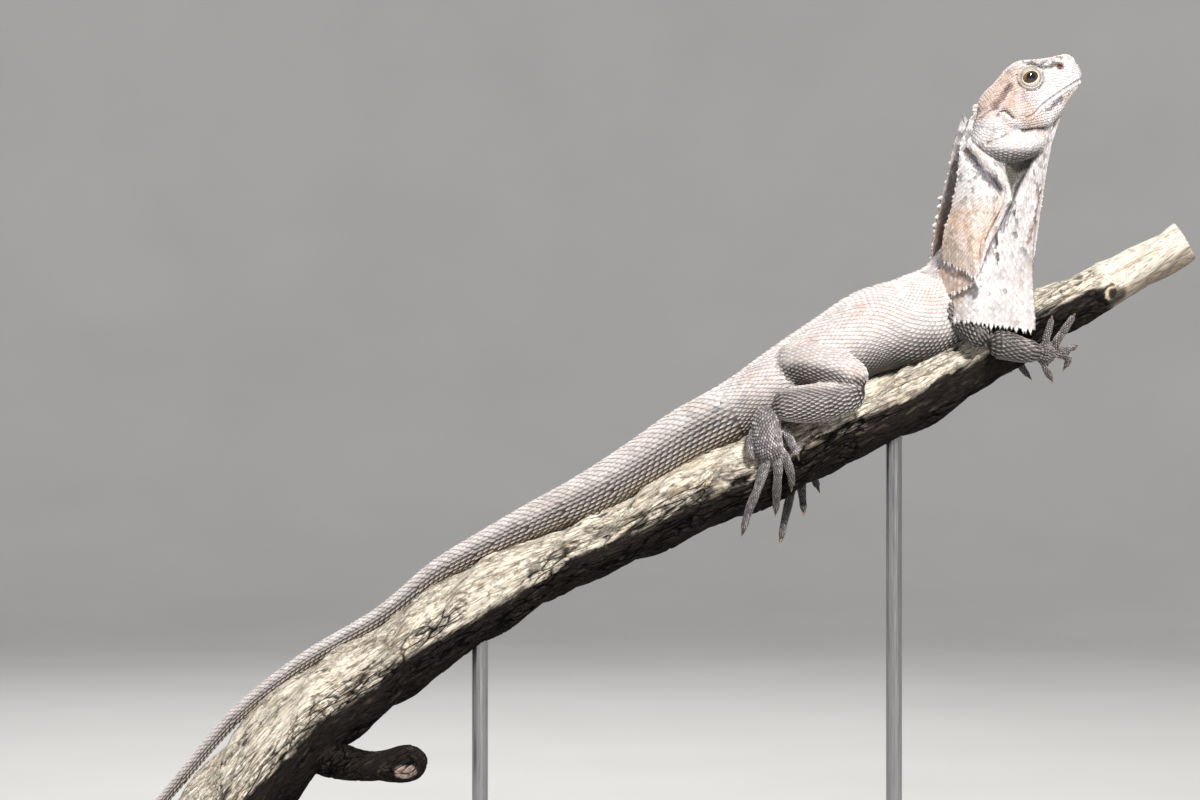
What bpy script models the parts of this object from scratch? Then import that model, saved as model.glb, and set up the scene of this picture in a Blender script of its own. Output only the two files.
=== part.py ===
"""Frilled lizard, life size, gripping a cut length of branch that a plain stand holds up.

The lizard faces +X with its right side towards -Y. Up is +Z, and the origin is the middle of
the base's underside. Sizes and places are in millimetres; solid() turns them into metres.
Rows of a line are x, y, z and then half sizes of the form round that place.
"""

import math

import bmesh
import bpy
import numpy as np
from mathutils import Matrix

MM = 0.001
GAP = 0.3

# The stand: a flat base and two rods that reach the underside of the branch.
BASE_LENGTH, BASE_WIDTH, BASE_THICK = 290.0, 170.0, 10.0
BASE_CORNER, BASE_EDGE = 12.0, 1.5
CORNER_STEPS, EDGE_STEPS = 5, 2
ROD_RADIUS = 4.0
ROD_AT = {"stand_rod_low": -105.0, "stand_rod_high": 102.0}
ROD_SIDES = 16

# The branch, from its thick lower cut to its thin upper cut: x, y, z, radius.
BRANCH_LINE = [
    (-245, 0, 84, 22.5), (-219, 0, 114, 22.5), (-194, 0, 142, 22.5), (-154, 0, 170, 19.5),
    (-105, 0, 202, 17.0), (-67, 0, 223, 15.5), (-28, 0, 240, 15.5), (5, 0, 256, 16.6),
    (36, 0, 268.5, 16.5), (71, 0, 288, 17.0), (115, 0, 309, 16.5), (155, 0, 332, 13.6),
    (180, 0, 348, 13.0), (213, 0, 364, 11.0), (247, 0, 384, 10.0),
]
STUB_LINE = [
    (-190, -2, 131, 13.0), (-172, -6, 124, 9.0), (-155, -9, 122.5, 7.6), (-141, -11, 124, 9.4),
    (-131, -12, 126.5, 7.4),
]
KNOB_LINE = [(204, -2, 361, 9.5), (207, -8, 358.6, 7.6), (209, -13, 357.4, 5.4)]
# Swellings of the bark: how many round the branch, how high, and turns per millimetre along it.
BARK_WAVES = ((3, 0.9, 0.021), (5, 0.6, 0.034), (8, 0.35, 0.055))
BRANCH_RINGS, BRANCH_SIDES = 32, 16
STUB_RINGS, STUB_SIDES = 5, 12
KNOB_RINGS, KNOB_SIDES = 3, 10

# The body from the hips to the neck: x, y, z, half width, half height above, half height below.
BODY_LINE = [
    (10, 0, 294, 12.8, 12.8, 14.6), (23.5, 0, 301, 13.5, 13.5, 14.8), (48, 0, 315, 17, 16.5, 17),
    (74, 0, 330, 21, 18.8, 20), (91, 0, 339.5, 22.5, 20.2, 22), (111, 0, 344.5, 22.5, 21.5, 23),
    (127, 0, 355, 18.5, 19.5, 21), (136, 0, 370.5, 13.5, 14.5, 15.5), (141, 0, 387, 12, 12.5, 12.5),
    (144.5, 0, 407, 11.5, 12, 12), (147.5, 0, 427, 12, 12, 12), (152, 0, 441, 12.5, 11, 12),
]
NECK_FROM, HIPS_FROM = 160.0, 15.2

# The tail, from the hips to its tip: x, y, z, half width, half height above, half height below.
TAIL_LINE = [
    (23.5, 0, 301, 13.5, 13.5, 14.8), (0, 0, 288.5, 13, 13, 14.2), (-29, -1, 269.6, 11.8, 12, 11.6),
    (-54, -1.5, 255.4, 10.4, 10.6, 10.2), (-77, -1.5, 244.8, 8.5, 8.8, 8.4),
    (-101, -1, 232.8, 6.7, 7, 6.6), (-125, 0, 219.6, 5.4, 5.6, 5.4),
    (-151.5, 1, 198.6, 4.5, 4.6, 4.5), (-194.5, 1, 172.4, 4.2, 4.3, 4.2),
    (-224, 0, 149.4, 3.8, 3.9, 3.8), (-257, -1, 112, 3, 3.1, 3), (-277, -1, 88, 2.5, 2.5, 2.5),
    (-295, 0, 62, 1.9, 1.9, 1.9), (-310, 2, 35, 1.3, 1.3, 1.3), (-318, 3, 13, 0.6, 0.6, 0.6),
]
TAIL_CUTS = {"tail_base": (0.0, 120.0), "tail_middle": (120.0, 235.0),
             "tail_end": (235.0, 345.0), "tail_tip": (345.0, None)}
TAIL_MESH = {"tail_base": (4.0, 14), "tail_middle": (7.0, 10), "tail_end": (9.0, 8), "tail_tip": (9.0, 6)}
# The low crest of the back: its height on a body of full size and less on a thinner one, and
# half the angle that its root takes. Rings stand a step apart, and every other one has a tooth.
CREST_HEIGHT, CREST_HALF_ANGLE = 0.9, 7.0
CREST_FULL_AT, CREST_LEAST = 10.0, 0.25
TORSO_STEP, TORSO_SIDES = 4.3, 16
NECK_STEP, NECK_SIDES = 8.0, 14
LEAST_STEPS = 6

# The head has its own axes: a runs back from the snout's tip, h runs up from the tip's level.
SNOUT, HEAD_PITCH = np.array([195.0, 0.0, 469.0]), math.radians(22.0)
# Stations: a, roof h, brow w, brow h, cheek w, cheek h, jaw w, jaw h, throat h.
HEAD_STATIONS = [
    (0.2, 3.6, 1.2, 2.9, 1.9, 1.0, 1.2, -1.0, -1.8),
    (1.2, 7.6, 3.2, 6.6, 4.8, 1.6, 3.0, -3.4, -4.6),
    (3.2, 10.0, 4.8, 8.8, 6.5, 1.4, 4.4, -5.2, -6.6),
    (8, 11.3, 6.2, 10.0, 8.2, 0.4, 5.8, -8.0, -9.6),
    (14, 11.7, 7.2, 10.8, 9.8, -1.2, 7.2, -11.8, -13.6),
    (20, 12.6, 9.2, 12.0, 11.6, -2.8, 8.8, -15.4, -17.4),
    (26, 15.2, 11.4, 13.6, 13.6, -5.0, 10.4, -18.2, -20.4),
    (31, 15.6, 11.8, 13.4, 15.6, -6.6, 11.8, -19.4, -21.6),
    (37, 13.2, 10.8, 10.4, 17.6, -8.2, 13.0, -19.4, -21.4),
    (43, 10.2, 10.2, 7.4, 18.6, -9.4, 13.2, -18.2, -20.2),
    (49, 7.8, 9.4, 4.8, 17.0, -9.4, 12.2, -16.4, -18.4),
    (54, 3.6, 7.6, 1.2, 13.4, -9.0, 9.6, -14.4, -16.0),
    (57.5, -2.4, 4.0, -4.0, 7.0, -8.6, 5.0, -11.4, -12.4),
]
HEAD_SIDES, HEAD_RINGS = 22, 17
# Above 1 the rings stand closer together at the snout.
HEAD_SPREAD = 1.35
BALL_SIDES, BALL_ROWS = 12, 6
EYE_AT, EYE_RADIUS, EYE_DEEP = (26.0, 5.9), 5.0, 7.9
LID_RADIUS, LID_OPENING = 6.3, (3.9, 3.1)
# The balls that cut the lids' opening, the nostril and the ear: sizes along a, h and w, and how
# far out from the middle each one's centre is.
OPENING_REACH, OPENING_OUT = 9.0, EYE_DEEP + EYE_RADIUS + 6.0
NOSTRIL_AT, NOSTRIL_BALL, NOSTRIL_OUT = (9.6, 5.6), (1.0, 0.8, 1.7), 8.0
EAR_AT, EAR_BALL, EAR_OUT = (45.6, -7.0), (3.0, 3.0, 2.2), 18.9
MOUTH_LINE = [(-3, -3.2), (2, -4.0), (14, -6.2), (26, -9.2), (34, -12.2), (38, -12.0)]
MOUTH_WIDE, MOUTH_DEEP = 0.6, 1.0
MOUTH_RINGS, MOUTH_ACROSS = 14, 30.0
# The swollen fold of skin under the jaw: x, distance from the middle, z, radius.
JOWL_LINE = [
    (143, 4, 440.5, 6.4), (147.5, 9, 433, 7.6), (157, 11.8, 430.6, 8.4), (167, 9.4, 432, 7.6),
    (175.5, 3.6, 437, 5.8),
]
JOWL_RINGS, JOWL_SIDES = 5, 12

# The folded frill's two halves. Edges: x, z down the rear and the front.
REAR_EDGE = {
    "right": [(141, 447), (134.9, 433), (133.2, 418), (130, 401.5), (125.4, 386.5), (124.5, 372), (123, 352)],
    "left": [(138.5, 451), (132.9, 433.8), (130.2, 419), (126.4, 402), (123, 384), (122, 370), (122, 352)],
}
FRONT_EDGE = {
    "right": [(183, 449), (178, 431.3), (174.7, 409.8), (172.2, 393), (170.4, 360), (170.2, 333)],
    "left": [(188, 453), (181, 431.3), (177.2, 409.8), (174.2, 389), (170.6, 360), (170.4, 333)],
}
FRILL_TOP = [(0, 448), (0.3, 434), (0.6, 427), (0.8, 433), (1, 447)]
FRILL_FOOT = [
    (0, 374), (0.2, 366), (0.33, 361), (0.4, 370), (0.47, 360), (0.6, 353.5), (0.7, 347),
    (0.85, 342.5), (1, 339),
]
PLEAT_CREST = [(0, 0.45), (0.33, 0.6), (0.57, 0.48), (0.79, 0.38), (1, 0.4)]
PLEAT_VALLEY = [(0, 0.6), (0.33, 0.56), (0.57, 0.3), (0.85, -0.06), (1, -0.1)]
PLEAT_FROM, PLEAT_FULL, PLEAT_DEEP = 0.12, 0.5, 6.4
# Shares of the sheet's width between which it turns back, and over which one layer passes the
# next, and shares of the way forward where the layers meet behind and in front.
PLEAT_TURN, PLEAT_BACK = 0.4, 0.6
LAYER_FROM, LAYER_TO = 0.3, 0.7
LAYER_REAR, LAYER_FRONT = (-0.2, 0.15), (0.75, 1.0)
# How far the sheet stands from the middle: share of the way down, rear edge, side, front edge.
FRILL_REACH = [
    (0, 6, 12.5, 2.4), (0.2, 7, 14.5, 2.4), (0.45, 9, 18.5, 2.6), (0.7, 12.5, 25.5, 3.2),
    (0.8, 14, 27, 7.5), (0.88, 14, 28, 14), (1, 14, 28.5, 17),
]
FRILL_WIDEST = 0.42
FRILL_COLUMNS, FRILL_ROWS = 29, 13
FRILL_THICK_ROOT, FRILL_THICK_RIM = 1.4, 1.0
FRILL_TOOTH, EDGE_TOOTH = 1.5, 0.9

# Legs on the right side: x, distance from the middle, z, radius. The left ones are set apart.
LEGS = {
    "right": {
        "upper_arm": [(128, 8, 355, 8.6), (135, 13, 346, 8.2), (142, 18.5, 337, 7.0), (146, 20.5, 332, 6.4)],
        "forearm": [
            (146, 20.5, 332, 6.8), (152, 20.2, 332, 7.2), (163, 17.4, 329.4, 6.3), (173, 13.8, 327.8, 5.0),
        ],
        "thigh": [(45, 3, 322, 11.0), (60, 16, 322.5, 10.4), (76, 24, 318, 8.8), (85, 26.5, 311, 7.6)],
        "shank": [
            (85, 26.5, 309, 7.0), (72, 26, 304.8, 8.9), (58, 24.5, 302.8, 9.5), (47, 23, 302, 8.2),
            (40, 22, 300.5, 6.2),
        ],
    },
    "left": {
        "upper_arm": [(128, 8, 355, 8.6), (134, 13, 346, 8.2), (139, 18.5, 337, 7.0), (142, 20.5, 331, 6.2)],
        "forearm": [
            (142, 20.5, 331, 6.6), (150, 20.5, 330.5, 6.8), (157, 18, 331, 5.6), (163, 15.5, 331.5, 4.6),
        ],
        "thigh": [(45, 3, 322, 11.0), (62, 16, 323, 10.4), (79, 24, 320, 8.8), (89, 26.5, 313, 7.6)],
        "shank": [(89, 26.5, 311, 7.0), (78, 26, 306, 8.8), (65, 24, 303, 9.0), (54, 22, 299, 6.2)],
    },
}
PALMS = {
    "hand_right": [(171, 14.2, 328, 4.8), (176.5, 12.2, 327.6, 5.0), (181, 11.8, 327.8, 4.2)],
    "hand_left": [(161, 15.8, 331.5, 4.4), (166, 14.8, 331.4, 4.6), (170, 14.2, 332, 4.0)],
    "foot_right": [(39.5, 22, 301, 6.0), (36.8, 20.5, 292, 6.8), (38, 19.5, 283, 7.0), (41.5, 19, 275, 6.2)],
    "foot_left": [(54, 22, 300, 6.0), (53, 20.4, 291, 6.6), (55, 19.7, 283, 6.8), (58, 19.4, 277, 6.0)],
}
# Digits: rows of x, distance from the middle, z; the claw bends on from the last row.
DIGITS = {
    "hand_right": [
        [(176, 13.8, 333), (177.4, 14.8, 339.5), (178.8, 14.6, 345)],
        [(180.5, 13.4, 332), (186, 14.2, 340.5), (190, 12.8, 346.4)],
        [(184, 11.8, 329), (188.4, 10.8, 330), (191.4, 9.6, 331.2)],
        [(184, 11.2, 327), (187.8, 10, 324.6), (186.4, 8.2, 321)],
        [(175.5, 12, 323), (177, 11.6, 318.6), (179.2, 10.6, 315)],
    ],
    "hand_left": [
        [(163, 15.4, 334), (164, 15.8, 339.5), (167, 15.4, 345)],
        [(168, 14.8, 334), (174, 15.2, 340), (179.6, 14.2, 345.4)],
        [(170, 14.4, 332), (176, 14, 335), (181.6, 12.8, 338.4)],
        [(166, 13.2, 326.4), (167.6, 11.8, 320.8), (170.6, 9.8, 316.6)],
        [(160.6, 14.2, 327), (160, 13.2, 323), (161.2, 12, 320.6)],
    ],
    "foot_right": [
        [(45, 19, 290), (49.5, 19.6, 283.5), (52.6, 19.4, 277)],
        [(46.5, 18.8, 276), (49.4, 18, 267), (49.8, 15.6, 261.5)],
        [(42.6, 18.8, 273), (42.4, 18, 260), (42.1, 13.4, 249)],
        [(37, 18.8, 274), (33, 18.6, 261), (28.6, 15.4, 249.5), (25.9, 12.4, 239)],
        [(33, 19.6, 291), (29.2, 19.8, 283), (29.8, 19.6, 274.5)],
    ],
    "foot_left": [
        [(61, 19.4, 288), (67, 19.8, 282), (70, 19.4, 276)],
        [(61.8, 19, 278), (62.6, 17.8, 267), (65, 14.6, 260)],
        [(58.6, 19, 276), (57, 17.6, 262), (57.8, 12.8, 248)],
        [(55, 19, 277), (52, 18, 260), (48.2, 14.4, 244), (46, 11, 234)],
        [(52, 19.6, 291), (48, 20, 284), (46.6, 19.8, 276)],
    ],
}
DIGIT_RADIUS = {"hand": (2.0, 1.5), "foot": (2.6, 1.9)}
DIGIT_SIDES, DIGIT_RINGS = 5, 6
# The toe rounds off over TIP_ROUND to the share TIP_TAPER of its radius, and the claw swells
# CLAW_ROOT further on.
TIP_ROUND, TIP_TAPER = 0.9, 0.75
CLAW_LENGTH, CLAW_RADIUS, CLAW_DROP = 3.0, 0.75, 0.35
CLAW_FROM, CLAW_ROOT, CLAW_TIP = 1.0, 0.6, 0.3
LIMB_RINGS, LIMB_SIDES = 4, 10
PALM_RINGS, PALM_SIDES = 3, 8
# A limb's domed ends: how far round each end its rings stand, in degrees, the most of the limb
# that one end may take, and the least share of its squared radius that is left.
DOME_TURNS, DOME_SHARE, DOME_LEAST = (25, 50, 72), 0.4, 0.02

PALE_SKIN = (0.62, 0.55, 0.52, 1.0)
GREY_SKIN = (0.36, 0.31, 0.29, 1.0)
TAN_SKIN = (0.60, 0.42, 0.30, 1.0)
BARK = (0.55, 0.47, 0.36, 1.0)
SATIN_BLACK = (0.06, 0.06, 0.065, 1.0)
STEEL = (0.45, 0.45, 0.46, 1.0)


def finish(name, colour, roughness=0.6, metallic=0.0):
    """A plain surface of its own for one piece."""
    material = bpy.data.materials.new(name + "_finish")
    material.use_nodes = True
    shader = material.node_tree.nodes["Principled BSDF"]
    shader.inputs["Base Color"].default_value = colour
    shader.inputs["Roughness"].default_value = roughness
    shader.inputs["Metallic"].default_value = metallic
    return material


def solid(name, points, faces, colour=PALE_SKIN, roughness=0.6, metallic=0.0):
    """An object from points in millimetres and faces, with its faces turned outwards."""
    mesh = bpy.data.meshes.new(name)
    mesh.from_pydata([tuple(point) for point in np.asarray(points) * MM], [], faces)
    shape = bmesh.new()
    shape.from_mesh(mesh)
    bmesh.ops.recalc_face_normals(shape, faces=shape.faces)
    bmesh.ops.triangulate(shape, faces=shape.faces)
    shape.to_mesh(mesh)
    shape.free()
    mesh.shade_smooth()
    piece = bpy.data.objects.new(name, mesh)
    bpy.context.scene.collection.objects.link(piece)
    mesh.materials.append(finish(name, colour, roughness, metallic))
    return piece


def smoothstep(value, low, high):
    part = np.clip((np.asarray(value, float) - low) / (high - low), 0.0, 1.0)
    return part * part * (3.0 - 2.0 * part)


def curve(keys, at):
    """A smooth curve through keys, whose first column is the parameter, read at each value."""
    keys = np.asarray(keys, float)
    knots, values = keys[:, 0], keys[:, 1:]
    at = np.asarray(at, float)
    slope = np.gradient(values, knots, axis=0)
    i = np.clip(np.searchsorted(knots, at, side="right") - 1, 0, len(knots) - 2)
    step = (knots[i + 1] - knots[i])[..., None]
    t = (at - knots[i])[..., None] / step
    return (values[i] * (1 + 2 * t) * (1 - t) ** 2 + slope[i] * step * t * (1 - t) ** 2
            + values[i + 1] * t * t * (3 - 2 * t) + slope[i + 1] * step * t * t * (t - 1))


def line(rows):
    """The rows with their distance along the line in front, which curve() reads."""
    rows = np.asarray(rows, float)
    steps = np.linalg.norm(np.diff(rows[:, :3], axis=0), axis=1)
    return np.column_stack([np.concatenate([[0.0], np.cumsum(steps)]), rows])


def heading(track, at, reach=0.05):
    """The direction of a line at distances along it."""
    return curve(track, at + reach)[:, :3] - curve(track, at - reach)[:, :3]


def frames(centres, side=(0.0, 1.0, 0.0), along=None):
    """Along, across and up vectors at each centre."""
    along = np.gradient(centres, axis=0) if along is None else along
    along = along / np.linalg.norm(along, axis=1)[:, None]
    across = np.asarray(side) - along * (along @ np.asarray(side))[:, None]
    across /= np.linalg.norm(across, axis=1)[:, None]
    return along, across, np.cross(along, across)


def tube_mesh(rings):
    """Points and faces of a closed tube: rings of equal count, and a fan on each end."""
    count, sides = rings.shape[:2]
    points = np.concatenate([rings.reshape(-1, 3), rings[0].mean(0)[None], rings[-1].mean(0)[None]])
    faces = []
    for i in range(count - 1):
        for j in range(sides):
            k = (j + 1) % sides
            faces.append((i * sides + j, i * sides + k, (i + 1) * sides + k, (i + 1) * sides + j))
    first, last = count * sides, count * sides + 1
    for j in range(sides):
        k = (j + 1) % sides
        faces.append((first, k, j))
        faces.append((last, (count - 1) * sides + j, (count - 1) * sides + k))
    return points, faces


def rings_of(rows, angles, side=(0.0, 1.0, 0.0), along=None):
    """Oval rings round rows of x, y, z, half width, half height above, half height below."""
    centres = rows[:, :3]
    _, across, up = frames(centres, side, along)
    high = np.where(np.sin(angles) >= 0, rows[:, 4:5], rows[:, 5:6]) * np.sin(angles)
    wide = rows[:, 3:4] * np.cos(angles)
    return centres[:, None] + across[:, None] * wide[..., None] + up[:, None] * high[..., None]


def rounded(keys, count, sides):
    """Rings of a limb with domed ends, from rows of x, y, z, radius."""
    track = line(keys)
    length = track[-1, 0]
    first, last = track[0, 4], track[-1, 4]
    dome_first = min(first, DOME_SHARE * length)
    dome_last = min(last, DOME_SHARE * length)
    bends = 1 - np.cos(np.radians(DOME_TURNS))
    middle = np.linspace(dome_first, length - dome_last, count)
    at = np.concatenate([dome_first * bends, middle, length - dome_last * bends[::-1]])
    rows = curve(track, at)
    from_first = np.clip(first - at, 0, None) / first
    from_last = np.clip(at - length + last, 0, None) / last
    near_first = np.sqrt(np.clip(1 - from_first ** 2, DOME_LEAST, 1))
    near_last = np.sqrt(np.clip(1 - from_last ** 2, DOME_LEAST, 1))
    radius = rows[:, 3] * near_first * near_last
    rows = np.column_stack([rows[:, :3], radius, radius, radius])
    return rings_of(rows, np.linspace(0, 2 * np.pi, sides, endpoint=False))


def new_mesh(piece):
    """The piece's shape as its modifiers leave it, in place of the shape and the modifiers."""
    bpy.context.view_layer.update()
    shaped = piece.evaluated_get(bpy.context.evaluated_depsgraph_get())
    mesh = bpy.data.meshes.new_from_object(shaped)
    piece.modifiers.clear()
    piece.data = mesh


def keep_largest(piece):
    """Leaves the largest closed surface of the piece."""
    shape = bmesh.new()
    shape.from_mesh(piece.data)
    left, groups = set(shape.verts), []
    while left:
        group, reach = set(), [next(iter(left))]
        while reach:
            point = reach.pop()
            if point in group:
                continue
            group.add(point)
            reach.extend(edge.other_vert(point) for edge in point.link_edges)
        left -= group
        groups.append(group)
    groups.sort(key=len)
    spare = [point for group in groups[:-1] for point in group]
    bmesh.ops.delete(shape, geom=spare, context="VERTS")
    shape.to_mesh(piece.data)
    shape.free()
    piece.data.shade_smooth()


def combine(piece, others, operation, solver="EXACT", keep=False):
    """One Boolean on a collection of the others, applied; the others go unless they are kept."""
    group = bpy.data.collections.new(piece.name + "_" + operation.lower())
    for other in others:
        group.objects.link(other)
    change = piece.modifiers.new(operation.title(), "BOOLEAN")
    change.operation = operation
    change.operand_type = "COLLECTION"
    change.collection = group
    change.solver = solver
    new_mesh(piece)
    bpy.data.collections.remove(group)
    if not keep:
        for other in others:
            bpy.data.objects.remove(other)
    keep_largest(piece)


def swollen(piece, by=GAP):
    """A guide that stands out from the piece all over, to cut its neighbours with."""
    guide = bpy.data.objects.new(piece.name + "_guide", piece.data.copy())
    bpy.context.scene.collection.objects.link(guide)
    guide.hide_render = True
    guide.display_type = "WIRE"
    mesh = guide.data
    count = len(mesh.vertices)
    places, normals = np.empty(count * 3), np.empty(count * 3)
    mesh.vertices.foreach_get("co", places)
    mesh.vertex_normals.foreach_get("vector", normals)
    mesh.vertices.foreach_set("co", places + normals * by * MM)
    mesh.update()
    return guide


def clear(piece, guides, solver="EXACT"):
    """Cuts the piece back from its neighbours' guides, so that they meet across a small gap."""
    for guide in guides:
        combine(piece, [guide], "DIFFERENCE", solver, keep=True)


def make_branch():
    track = line(BRANCH_LINE)
    at = np.linspace(0, track[-1, 0], BRANCH_RINGS)
    rows = curve(track, at)
    angles = np.linspace(0, 2 * np.pi, BRANCH_SIDES, endpoint=False)
    wave = sum(high * np.sin(turns * angles[None] + at[:, None] * slow * 2 * np.pi)
               for turns, high, slow in BARK_WAVES)
    rows = np.column_stack([rows[:, :3], rows[:, 3], rows[:, 3], rows[:, 3]])
    rings = rings_of(rows, angles)
    outward = rings - rows[:, None, :3]
    outward /= np.linalg.norm(outward, axis=2)[..., None]
    branch = solid("branch", *tube_mesh(rings + outward * wave[..., None]), BARK, 0.9)
    stub = solid("stub", *tube_mesh(rounded(STUB_LINE, STUB_RINGS, STUB_SIDES)))
    knob = solid("knob", *tube_mesh(rounded(KNOB_LINE, KNOB_RINGS, KNOB_SIDES)))
    combine(branch, [stub, knob], "UNION")
    return branch


def crested(keys, start, end, sides, step, side=(0.0, 1.0, 0.0)):
    """Rings of a body length whose back carries a low toothed crest."""
    track = line(keys)
    end = track[-1, 0] if end is None else end
    count = max(LEAST_STEPS, int(round((end - start) / step)))
    at = np.linspace(start, end, count + 1)
    rows = curve(track, at)
    plain = np.linspace(0, 2 * np.pi, sides, endpoint=False)
    half = math.radians(CREST_HALF_ANGLE)
    angles = np.sort(np.concatenate([plain, [np.pi / 2 - half, np.pi / 2 + half]]))
    ahead = heading(track, at)
    rings = rings_of(rows, angles, side, ahead)
    _, _, up = frames(rows[:, :3], side, ahead)
    top = int(np.argmin(abs(angles - np.pi / 2)))
    size = np.clip(rows[:, 4] / CREST_FULL_AT, CREST_LEAST, 1.0)
    tooth = CREST_HEIGHT * size * (np.arange(len(at)) % 2)
    tooth[0] = tooth[-1] = 0.0
    rings[:, top] += up * tooth[:, None]
    return rings


def make_body(guides):
    """Torso, neck and the four lengths of the tail, on one smooth line."""
    body = line(BODY_LINE)
    torso = solid("torso", *tube_mesh(
        crested(BODY_LINE, HIPS_FROM + GAP / 2, NECK_FROM - GAP / 2, TORSO_SIDES, TORSO_STEP)))
    neck = solid("neck", *tube_mesh(
        crested(BODY_LINE, NECK_FROM + GAP / 2, body[-1, 0], NECK_SIDES, NECK_STEP)))
    pieces = {"torso": torso, "neck": neck}
    for name, (start, end) in TAIL_CUTS.items():
        step, sides = TAIL_MESH[name]
        first = start + GAP / 2
        last = None if end is None else end - GAP / 2
        rings = crested(TAIL_LINE, first, last, sides, step, (0.0, -1.0, 0.0))
        pieces[name] = solid(name, *tube_mesh(rings), TAN_SKIN)
    guides["torso"], guides["neck"] = swollen(torso), swollen(neck)
    for name in ("torso", *TAIL_CUTS):
        clear(pieces[name], [guides["branch"]])
    clear(pieces["tail_base"], [guides["torso"]])
    return pieces


def head_place(a, h, w):
    """A place in the head's own axes, in the part's."""
    back = np.array([-math.cos(HEAD_PITCH), 0.0, -math.sin(HEAD_PITCH)])
    up = np.array([-math.sin(HEAD_PITCH), 0.0, math.cos(HEAD_PITCH)])
    across = np.array([0.0, 1.0, 0.0])
    a, h, w = (np.asarray(value, float)[..., None] for value in (a, h, w))
    return SNOUT + a * back + h * up + w * across


def head_rings(count, sides):
    """Rings round the head, each a smooth closed line through its station's eight places."""
    stations = np.asarray(HEAD_STATIONS)
    spread = np.linspace(0, 1, count) ** HEAD_SPREAD
    at = stations[0, 0] + (stations[-1, 0] - stations[0, 0]) * spread
    values = curve(stations, at)
    rings = []
    for a, row in zip(at, values):
        roof, brow_w, brow_h, cheek_w, cheek_h, jaw_w, jaw_h, throat = row
        places = [(0, roof), (brow_w, brow_h), (cheek_w, cheek_h), (jaw_w, jaw_h), (0, throat),
                  (-jaw_w, jaw_h), (-cheek_w, cheek_h), (-brow_w, brow_h)]
        turns = np.arange(-2, 11)
        keys = np.column_stack([turns, [places[i % 8] for i in turns]])
        outline = curve(keys, np.linspace(0, 8, sides, endpoint=False))
        rings.append(head_place(np.full(sides, a), outline[:, 1], outline[:, 0]))
    return np.array(rings)


def ball(name, place, radii):
    """An oval ball turned with the head, radii along a, h and w."""
    lat = np.linspace(0, np.pi, BALL_ROWS + 2)[1:-1]
    lon = np.linspace(0, 2 * np.pi, BALL_SIDES, endpoint=False)
    a, h, w = place
    rings = head_place(a + radii[0] * np.sin(lat)[:, None] * np.cos(lon),
                       h + radii[1] * np.sin(lat)[:, None] * np.sin(lon),
                       w + radii[2] * np.cos(lat)[:, None] * np.ones(BALL_SIDES))
    points, faces = tube_mesh(rings)
    points[-2] = head_place(a, h, w + radii[2])
    points[-1] = head_place(a, h, w - radii[2])
    return solid(name, points, faces)


def mouth_slab():
    """A thin sheet along the mouth's line, right across the head."""
    keys = np.asarray(MOUTH_LINE, float)
    at = np.linspace(keys[0, 0], keys[-1, 0], MOUTH_RINGS)
    level = curve(keys, at)[:, 0]
    half = MOUTH_WIDE / 2
    corners = ((half, -MOUTH_ACROSS), (half, MOUTH_ACROSS), (-half, MOUTH_ACROSS), (-half, -MOUTH_ACROSS))
    rings = np.array([[head_place(a, h + up, across) for up, across in corners] for a, h in zip(at, level)])
    return solid("mouth_cut", *tube_mesh(rings))


def make_head(guides):
    head = solid("head", *tube_mesh(head_rings(HEAD_RINGS, HEAD_SIDES)))
    core = swollen(head, -MOUTH_DEEP)
    slab = mouth_slab()
    combine(slab, [core], "DIFFERENCE")
    lids, cuts = [], [slab]
    a, h = EYE_AT
    for side, name in ((-1, "eye_right"), (1, "eye_left")):
        lids.append(ball("lid", (a, h, side * EYE_DEEP), (LID_RADIUS,) * 3))
        ball(name, (a, h, side * EYE_DEEP), (EYE_RADIUS,) * 3)
        cuts.append(ball("socket", (a, h, side * EYE_DEEP), (EYE_RADIUS + GAP,) * 3))
        cuts.append(ball("opening", (a, h, side * OPENING_OUT), (*LID_OPENING, OPENING_REACH)))
        cuts.append(ball("nostril", (*NOSTRIL_AT, side * NOSTRIL_OUT), NOSTRIL_BALL))
        cuts.append(ball("ear", (*EAR_AT, side * EAR_OUT), EAR_BALL))
    jowls = [solid("jowl", *tube_mesh(rounded(sided(JOWL_LINE, sign), JOWL_RINGS, JOWL_SIDES)))
             for sign in (-1, 1)]
    combine(head, lids + jowls, "UNION")
    guides["head"] = swollen(head)
    combine(head, cuts, "DIFFERENCE", "MANIFOLD")


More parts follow.
